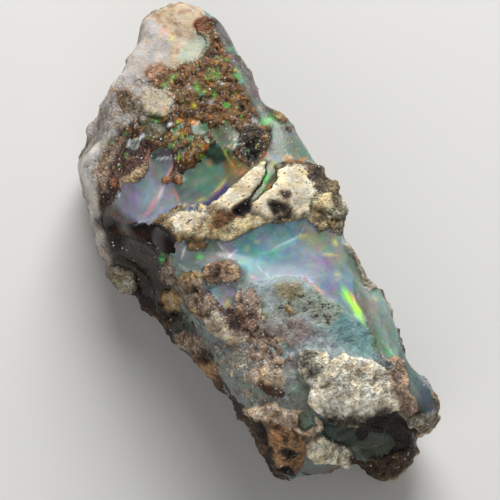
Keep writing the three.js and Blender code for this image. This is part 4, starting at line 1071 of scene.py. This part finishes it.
def tint_opal(stone):
    """Faint drifts of rose, green and blue in the opal's body, fainter where it is frosted."""
    DRIFTS = ((10, -5, 4), (-8, 8, 0), (-4, -2, 9))
    FROSTED_SHARE = 0.3
    glassy = smooth_step(0.55, 0.3, stone.rough) * (1.0 - FROSTED_SHARE) + FROSTED_SHARE
    for i, drift in enumerate(DRIFTS):
        amount = glassy * noise_at(stone.points, other_pattern(TINT, 3.0 * i))
        stone.opal_hue += amount[:, None] * np.array(drift)


def raise_relief(stone, rocky):
    """How far each corner moves out, by its ledges, crumbs, hummocks and shell-shaped breaks."""
    LEDGE_SHARE = 0.7
    CRUMB_GAIN, CRUMB_SHARE, CRUMB_BASE, GRAIN_SHARE = 1.6, 1.2, -0.3, 0.75
    PEBBLE_HEIGHT = 0.06
    HUMMOCK_HEIGHT = 0.12
    SHELL_DEPTH, SHELL_RIM = 0.03, 0.3
    opal = 1 - rocky
    crumbly = smooth_step(0.0, 0.05, stone.crumb)
    crumbs = CRUMB_SHARE * np.abs(noise_at(stone.points, CRUMB)) + CRUMB_BASE
    crumbs += GRAIN_SHARE * grain_heights(stone.points)
    frosted = smooth_step(0.35, 0.5, stone.rough) * opal
    travel = stone.rise * (1.0 + LEDGE_SHARE * crumbly * noise_at(stone.points, LEDGE))
    travel += stone.crumb * crumbs * CRUMB_GAIN
    travel += PEBBLE_HEIGHT * noise_at(stone.points, PEBBLE) * frosted
    travel += HUMMOCK_HEIGHT * noise_at(stone.points, HUMMOCK) * rocky
    travel += SHELL_DEPTH * (SHELL_RIM - np.abs(noise_at(stone.points, SHELL))) * opal
    return travel


def shape_relief(stone):
    """Moves the surface, polishes its glassy places and keeps it within the solid's box."""
    POLISH_ROUNDS, POLISH_STEP = 40, 0.5
    SPREAD_ROUNDS = 6
    LOOSE_FROM = 0.5
    ROOM = 0.15
    rocky = np.clip(0.5 + 0.5 * stone.rock, 0, 1)
    loose = smooth_step(0.0, LOOSE_FROM, stone.place[:, 2])
    moved = stone.place + stone.normal * (raise_relief(stone, rocky) * loose)[:, None]
    glassy_opal = smooth_step(0.4, 0.26, stone.rough) * (1 - rocky)
    glassy_rock = smooth_step(0.26, 0.2, stone.rough) * rocky
    polish = ((glassy_opal + glassy_rock) * loose)[:, None]
    for _ in range(POLISH_ROUNDS):
        moved += POLISH_STEP * polish * (stone.neighbour_mean(moved) - moved)
    low, high = (np.array(corner) / MM for corner in cad_box)
    moved[:, :2] = np.clip(moved[:, :2], low[:2] - ROOM, high[:2] + ROOM)
    moved[:, 2] = np.clip(moved[:, 2], 0.0, high[2] + ROOM)
    spread = moved.copy()
    for _ in range(SPREAD_ROUNDS):
        spread = stone.neighbour_mean(spread)
    stone.hollow = ((spread - moved) * stone.normal).sum(axis=1)
    return moved


def crease_shade_and_ridge_paling(stone):
    """Darkens creases with painted shade, and makes ridges paler."""
    DEEP = 0.09
    ROCK_CREASE_SHADE, ROCK_RIDGE_PALING, OPAL_CREASE_SHADE = 0.4, 0.2, 0.15
    crease = np.clip(stone.hollow / DEEP, -1.0, 1.0)[:, None]
    # Painted shade darkens the creases, and the ridges turn paler.
    stone.rock_hue *= 1.0 - ROCK_CREASE_SHADE * np.clip(crease, 0, 1) + ROCK_RIDGE_PALING * np.clip(-crease, 0, 1)
    stone.opal_hue *= 1.0 - OPAL_CREASE_SHADE * np.clip(crease, 0, 1)


def fine_copy(name, node):
    """A smooth fine-meshed copy of a CAD node, for a piece that replaces it."""
    FINER_LEVELS = 2
    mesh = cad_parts[node].data.copy()
    mesh.name = name
    mesh.materials.clear()
    shell = bmesh.new()
    shell.from_mesh(mesh)
    bmesh.ops.remove_doubles(shell, verts=shell.verts, dist=1e-6)
    bmesh.ops.join_triangles(
        shell, faces=shell.faces, angle_face_threshold=math.pi, angle_shape_threshold=math.pi
    )
    bmesh.ops.recalc_face_normals(shell, faces=shell.faces)
    shell.to_mesh(mesh)
    shell.free()
    piece = bpy.data.objects.new(name, mesh)
    bpy.context.scene.collection.objects.link(piece)
    finer = piece.modifiers.new("finer", "SUBSURF")
    finer.levels = FINER_LEVELS
    finer.render_levels = FINER_LEVELS
    depsgraph = bpy.context.evaluated_depsgraph_get()
    fine = bpy.data.meshes.new_from_object(piece.evaluated_get(depsgraph))
    piece.modifiers.clear()
    piece.data = fine
    fine.name = name
    return piece


def write_hue(mesh, name, hue):
    """Hands one hue of each corner to the mesh."""
    rows = np.ones((len(hue), 4))
    rows[:, :3] = linear(np.clip(hue, 0, 255))
    mesh.attributes.new(name, "FLOAT_COLOR", "POINT").data.foreach_set("color", rows.ravel())


def write_values(mesh, name, values):
    """Hands one value of each corner to the mesh."""
    mesh.attributes.new(name, "FLOAT", "POINT").data.foreach_set("value", values)


def dress(piece):
    """Lays the finishes on the piece, shapes its relief, and hands both to its mesh."""
    SUGAR_GAIN = 10.0
    mesh = piece.data
    stone = Stone(mesh)
    for step in (lay_sides, lay_front, light_gleams, scatter_gleams, scatter_crown_glints, tint_opal):
        step(stone)
    moved = shape_relief(stone)
    crease_shade_and_ridge_paling(stone)
    mesh.vertices.foreach_set("co", (moved * MM).ravel())
    mesh.update()
    for name in ("rock_hue", "opal_hue", "gleam_hue"):
        write_hue(mesh, name, getattr(stone, name))
    for name in ("rock", "rough", "fleck", "glint", "gleam"):
        write_values(mesh, name, getattr(stone, name))
    write_values(mesh, "sugar", np.clip(stone.crumb * SUGAR_GAIN, 0.1, 1.0))
    fibre = mesh.attributes.new("fibre", "FLOAT_VECTOR", "POINT")
    fibre.data.foreach_set("vector", stone.fibre.ravel())
    rocky = [int(stone.rock[list(face.vertices)].mean() > 0) for face in mesh.polygons]
    mesh.polygons.foreach_set("material_index", rocky)
    mesh.polygons.foreach_set("use_smooth", np.ones(len(mesh.polygons), bool))


class Nodes:
    """Short ways to add and join the nodes of one tree."""

    def __init__(self, tree):
        self.tree = tree

    def fill(self, socket, value):
        """Joins an input to an output, or sets its plain value."""
        if isinstance(value, bpy.types.NodeSocket):
            self.tree.links.new(value, socket)
        else:
            socket.default_value = value

    def add(self, kind, values=(), **settings):
        node = self.tree.nodes.new(kind)
        for key, value in settings.items():
            setattr(node, key, value)
        for key, value in values:
            self.fill(node.inputs[key], value)
        return node

    def math(self, operation, a, b=0.0, c=0.0):
        values = ((0, a), (1, b), (2, c))
        return self.add("ShaderNodeMath", values, operation=operation).outputs[0]

    def vector(self, operation, *values):
        return self.add("ShaderNodeVectorMath", enumerate(values), operation=operation).outputs[0]

    def scaled(self, where, scale):
        values = ((0, where), ("Scale", scale))
        return self.add("ShaderNodeVectorMath", values, operation="SCALE").outputs[0]

    def attribute(self, name, output="Fac"):
        return self.add("ShaderNodeAttribute", attribute_name=name).outputs[output]

    def noise(self, where, scale, detail=2.0, output=0):
        values = (("Vector", where), ("Scale", scale), ("Detail", detail))
        return self.add("ShaderNodeTexNoise", values).outputs[output]

    def warped(self, where, scale, reach):
        """The same place, pushed about a little so that cells lose their straight sides."""
        push = self.noise(where, scale, output="Color")
        return self.vector("MULTIPLY_ADD", push, (reach,) * 3, where)

    def ramp(self, value, start, end, low=0.0, high=1.0):
        values = (
            ("Value", value), ("From Min", start), ("From Max", end), ("To Min", low), ("To Max", high),
        )
        return self.add("ShaderNodeMapRange", values, interpolation_type="SMOOTHSTEP").outputs[0]

    def middled(self, value):
        """A value of 0 to 1 as one of -0.5 to 0.5."""
        return self.math("SUBTRACT", value, 0.5)

    def blend(self, share, a, b):
        values = ((0, share), (2, a), (3, b))
        return self.add("ShaderNodeMix", values, data_type="FLOAT").outputs[0]

    def mix(self, share, a, b, blend="MIX"):
        values = ((0, share), (6, a), (7, b))
        return self.add("ShaderNodeMix", values, data_type="RGBA", blend_type=blend).outputs[2]

    def grey(self, value):
        values = ((0, value), (1, value), (2, value))
        return self.add("ShaderNodeCombineColor", values).outputs[0]


def stone_finish_group():
    """Shared look of opal and rock: crisp joins between them, grain, flecks and glints."""
    # Scales are in cells for each millimetre, and the bump's height is in metres.
    MM_IN_METRE = 1000.0
    FRAY_SCALE, FRAY, JOIN = 6.0, 2.5, 0.15
    FIRE_SCALE, FIRE_DETAIL, FIRE_FLOOR, FROSTED_FIRE = 2.3, 5.0, 0.5, 0.3
    GLASSY, FROSTED = 0.26, 0.42
    STIR_SCALE, STIR = 2.4, 0.3
    GRAIN_SCALE, COARSE_SCALE = 6.5, 2.6
    GRAIN_CONTRAST, COARSE_CONTRAST, OPAL_CONTRAST = 0.85, 0.45, 0.7
    OPAL_DRIFT, ROCK_DRIFT = 0.14, 0.35
    WARMTH_SCALE = 2.1
    COOL_CAST, WARM_CAST = (0.95, 1.0, 1.07, 1.0), (1.07, 1.0, 0.88, 1.0)
    FLECK_SCALE, FLECK_STRETCH, FLECK_COVER = 7.0, (0.38, 1.1, 1.0), 0.85
    FEWEST_FLECKS, MORE_FLECKS = 0.78, -0.22
    CHIP_SCALE, CHIP_WARP_SCALE, CHIP_WARP = 6.8, 5.0, 0.1
    GLINT_CHANCE, GLINT_ROUGHNESS, GLINT_HUE = 0.2, 0.12, (0.76, 0.73, 0.68, 1.0)
    DULL_GLINT, BRIGHT_GLINT = 0.25, 0.85
    ROUGHNESS_DRIFT = 0.3
    FIBRE_STRETCH, FIBRE_SHADE = (1.0, 6.5, 1.0), 0.35
    GLEAM_COVER = 0.8
    COARSE_HEIGHT, SMOOTH_HEIGHT, GLASSY_HEIGHT, OPAL_HEIGHT = 0.9, 0.12, 0.1, 0.7
    BUMP_HEIGHT = 0.00026
    OPAL_COAT = 0.06

    group = bpy.data.node_groups.new("stone finish", "ShaderNodeTree")
    for way, sockets in (
        ("INPUT", (("Grain", "Float"), ("Grain Depth", "Float"), ("Fleck Hue", "Color"))),
        ("OUTPUT", (
            ("Color", "Color"), ("Roughness", "Float"), ("Coat", "Float"), ("Gleam", "Color"),
            ("Normal", "Vector"),
        )),
    ):
        for name, kind in sockets:
            group.interface.new_socket(name, in_out=way, socket_type="NodeSocket" + kind)
    n = Nodes(group)
    given = n.add("NodeGroupInput").outputs
    result = n.add("NodeGroupOutput")
    mm = n.scaled(n.add("ShaderNodeTexCoord").outputs["Object"], MM_IN_METRE)
    base_rough = n.attribute("rough")
    sugar = n.attribute("sugar")

    # Rock or opal, with a frayed join.
    frayed = n.math("MULTIPLY_ADD", n.middled(n.noise(mm, FRAY_SCALE, 3.0)), FRAY, n.attribute("rock"))
    rocky = n.ramp(frayed, -JOIN, JOIN)
    hue = n.mix(rocky, n.attribute("opal_hue", "Color"), n.attribute("rock_hue", "Color"))

    # Pinpoints of fire in the glassy opal.
    fire = n.noise(mm, FIRE_SCALE, FIRE_DETAIL, "Color")
    fire = n.vector("MULTIPLY_ADD", fire, (1.0,) * 3, (FIRE_FLOOR,) * 3)
    glassy = n.math("SUBTRACT", n.ramp(base_rough, GLASSY, FROSTED, 1.0, FROSTED_FIRE), rocky)
    glassy = n.math("MAXIMUM", glassy, 0.0)
    hue = n.mix(glassy, hue, n.mix(1.0, hue, fire, "MULTIPLY"))

    # Sugary grain: light and dark, strong where the surface is crumbly.
    stirred = n.warped(mm, STIR_SCALE, STIR)
    grain = n.noise(stirred, GRAIN_SCALE, 4.0)
    coarse = n.noise(stirred, COARSE_SCALE, 3.0)
    crisp = n.middled(n.ramp(grain, 0.36, 0.64))
    lumpy = n.middled(n.ramp(coarse, 0.32, 0.68))
    contrast = n.math("MULTIPLY_ADD", crisp, GRAIN_CONTRAST, n.math("MULTIPLY", lumpy, COARSE_CONTRAST))
    contrast = n.math("MULTIPLY", contrast, n.math("MULTIPLY", given["Grain"], sugar))
    contrast = n.math("MULTIPLY", contrast, n.ramp(rocky, 0.0, 1.0, OPAL_CONTRAST, 1.0))
    drift = n.math("ADD", n.middled(grain), n.middled(coarse))
    light = n.math("MULTIPLY_ADD", drift, n.ramp(rocky, 0.0, 1.0, OPAL_DRIFT, ROCK_DRIFT), 1.0)
    light = n.math("ADD", light, contrast)
    cast = n.mix(n.ramp(n.noise(mm, WARMTH_SCALE, 3.0), 0.35, 0.65), COOL_CAST, WARM_CAST)
    hue = n.mix(rocky, hue, n.mix(1.0, hue, cast, "MULTIPLY"))
    hue = n.mix(1.0, hue, n.grey(light), "MULTIPLY")

    # Dark flecks, drawn out along a slant.
    fleck = n.attribute("fleck")
    specks = n.noise(n.vector("MULTIPLY", stirred, FLECK_STRETCH), FLECK_SCALE, 1.0)
    limit = n.math("MULTIPLY_ADD", fleck, MORE_FLECKS, FEWEST_FLECKS)
    flecked = n.ramp(n.math("SUBTRACT", specks, limit), 0.0, 0.05)
    flecked = n.math("MULTIPLY", flecked, n.ramp(fleck, 0.0, 0.3, 0.0, FLECK_COVER))
    hue = n.mix(flecked, hue, given["Fleck Hue"])

    # Glints: a few chips that are smoother and tilted their own way, and paler in colour as a painted
    # highlight.
    warped = n.warped(mm, CHIP_WARP_SCALE, CHIP_WARP)
    chips = n.add("ShaderNodeTexVoronoi", (("Vector", warped), ("Scale", CHIP_SCALE))).outputs
    luck = n.add("ShaderNodeSeparateColor", ((0, chips["Color"]),)).outputs
    glinty = n.math("LESS_THAN", luck[1], n.math("MULTIPLY", n.attribute("glint"), GLINT_CHANCE))
    glinty = n.math("MULTIPLY", glinty, n.ramp(chips["Distance"], 0.45, 0.2))
    painted_glint_paleness = n.ramp(n.math("LESS_THAN", luck[0], 0.5), 0.0, 1.0, DULL_GLINT, BRIGHT_GLINT)
    hue = n.mix(n.math("MULTIPLY", glinty, painted_glint_paleness), hue, GLINT_HUE)
    rough = n.math("MULTIPLY_ADD", n.middled(coarse), ROUGHNESS_DRIFT, base_rough)
    rough = n.blend(glinty, rough, GLINT_ROUGHNESS)

    # Play of colour, streaked along its fibres.
    fibres = n.vector("MULTIPLY", n.attribute("fibre", "Vector"), FIBRE_STRETCH)
    fibre = n.ramp(n.noise(fibres, 1.0), 0.38, 0.6, FIBRE_SHADE, 1.0)
    amount = n.math("MULTIPLY", n.attribute("gleam"), fibre)
    gleam_hue = n.attribute("gleam_hue", "Color")
    hue = n.mix(n.math("MULTIPLY", amount, GLEAM_COVER), hue, gleam_hue)
    # The play of colour also goes out as emission, so it glows without a lamp: painted light.
    gleam = n.mix(1.0, gleam_hue, n.grey(amount), "MULTIPLY")

    # Grain as relief, faint on smooth opal.
    height = n.math("MULTIPLY_ADD", grain, 1.0, n.math("MULTIPLY", coarse, COARSE_HEIGHT))
    depth = n.math("MULTIPLY", given["Grain Depth"], n.ramp(sugar, 0.0, 0.6, SMOOTH_HEIGHT, 1.0))
    depth = n.math("MULTIPLY", depth, n.ramp(base_rough, 0.2, 0.4, GLASSY_HEIGHT, 1.0))
    depth = n.math("MULTIPLY", depth, n.ramp(rocky, 0.0, 1.0, OPAL_HEIGHT, 1.0))
    height = n.math("MULTIPLY", height, depth)
    bump = n.add("ShaderNodeBump", (("Height", height), ("Strength", 1.0), ("Distance", BUMP_HEIGHT)))
    tilt = n.vector("SUBTRACT", chips["Color"], (0.5,) * 3)
    normal = n.vector("ADD", bump.outputs[0], n.scaled(tilt, glinty))
    normal = n.vector("NORMALIZE", normal)

    coat = n.ramp(rocky, 0.0, 1.0, OPAL_COAT, 0.0)
    for name, socket in zip(
        ("Color", "Roughness", "Coat", "Gleam", "Normal"), (hue, rough, coat, gleam, normal)
    ):
        group.links.new(socket, result.inputs[name])
    return group


def stone_material(name, group, grain, settings):
    """A finish of the stone: the shared group in front of its own plain shader values."""
    FLECK_HUE = (52, 38, 28)
    material = bpy.data.materials.new(name)
    material.use_nodes = True
    tree = material.node_tree
    shader = tree.nodes["Principled BSDF"]
    look = tree.nodes.new("ShaderNodeGroup")
    look.node_tree = group
    look.inputs["Grain"].default_value = grain
    look.inputs["Grain Depth"].default_value = 1.0
    look.inputs["Fleck Hue"].default_value = (*linear(FLECK_HUE), 1.0)
    for output, key in (
        ("Color", "Base Color"), ("Roughness", "Roughness"), ("Coat", "Coat Weight"),
        ("Gleam", "Emission Color"), ("Normal", "Normal"),
    ):
        tree.links.new(look.outputs[output], shader.inputs[key])
    for key, value in settings.items():
        shader.inputs[key].default_value = value
    return material


def plain_material(name, hue, roughness):
    """One even finish."""
    material = bpy.data.materials.new(name)
    material.use_nodes = True
    shader = material.node_tree.nodes["Principled BSDF"]
    shader.inputs["Base Color"].default_value = (*linear(hue), 1.0)
    shader.inputs["Roughness"].default_value = roughness
    return material


def lay_floor():
    """The pale floor that the stone lies on."""
    sheet = bmesh.new()
    bmesh.ops.create_grid(sheet, x_segments=1, y_segments=1, size=FLOOR_HALF_SIZE)
    mesh = bpy.data.meshes.new("floor")
    sheet.to_mesh(mesh)
    sheet.free()
    mesh.materials.append(plain_material("pale floor", FLOOR_HUE, FLOOR_ROUGHNESS))
    floor = bpy.data.objects.new("floor", mesh)
    bpy.context.scene.collection.objects.link(floor)


def hang_softbox(name, place, width, watts):
    """A square soft light that faces the stone."""
    lamp = bpy.data.lights.new(name, "AREA")
    lamp.size = width * MM
    lamp.energy = watts
    holder = bpy.data.objects.new(name, lamp)
    holder.location = Vector(place) * MM
    holder.rotation_euler = (Vector(LIGHTS_AIM) - Vector(place)).to_track_quat("-Z", "Y").to_euler()
    bpy.context.scene.collection.objects.link(holder)


def light_world():
    """Even pale light from all around."""
    world = bpy.data.worlds.new("studio")
    world.use_nodes = True
    backdrop = world.node_tree.nodes["Background"]
    backdrop.inputs["Color"].default_value = (*linear(WORLD_HUE), 1.0)
    backdrop.inputs["Strength"].default_value = WORLD_STRENGTH
    bpy.context.scene.world = world


def set_camera():
    """The camera, at the eye that the front's plane is drawn for."""
    NEAREST, FARTHEST = 10.0, 5000.0
    camera = bpy.data.cameras.new("camera")
    camera.sensor_width = SENSOR_WIDTH
    camera.lens = SENSOR_WIDTH * EYE_DISTANCE / PLANE_WIDTH
    camera.clip_start = NEAREST * MM
    camera.clip_end = FARTHEST * MM
    holder = bpy.data.objects.new("camera", camera)
    turn = Matrix((ACROSS, UPWARD, -LOOK)).transposed().to_4x4()
    turn.translation = Vector(EYE) * MM
    holder.matrix_world = turn
    bpy.context.scene.collection.objects.link(holder)
    bpy.context.scene.camera = holder


set_camera()
bpy.context.scene.view_settings.view_transform = "Standard"
light_world()
for name, softbox in SOFTBOXES.items():
    hang_softbox(name, *softbox)
lay_floor()

look = stone_finish_group()
opal = stone_material("precious opal", look, 0.4, {
    "Subsurface Weight": 0.7,
    "Subsurface Scale": 0.0006,
    "Subsurface Radius": (1.0, 1.0, 1.0),
    "IOR": 1.45,
    "Coat Roughness": 0.12,
    "Specular IOR Level": 0.22,
    "Transmission Weight": 0.2,
    # Emission makes the play of colour glow: painted light.
    "Emission Strength": 0.8,
})
rock = stone_material("host rock", look, 1.0, {
    "IOR": 1.5,
    "Specular IOR Level": 0.35,
    # Emission makes the glints of colour in the rock glow: painted light.
    "Emission Strength": 0.5,
})
piece = fine_copy("opal_in_host_rock", "rough_opal")
piece.data.materials.append(opal)
piece.data.materials.append(rock)
dress(piece)
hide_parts("rough_opal")
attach(piece, "root")
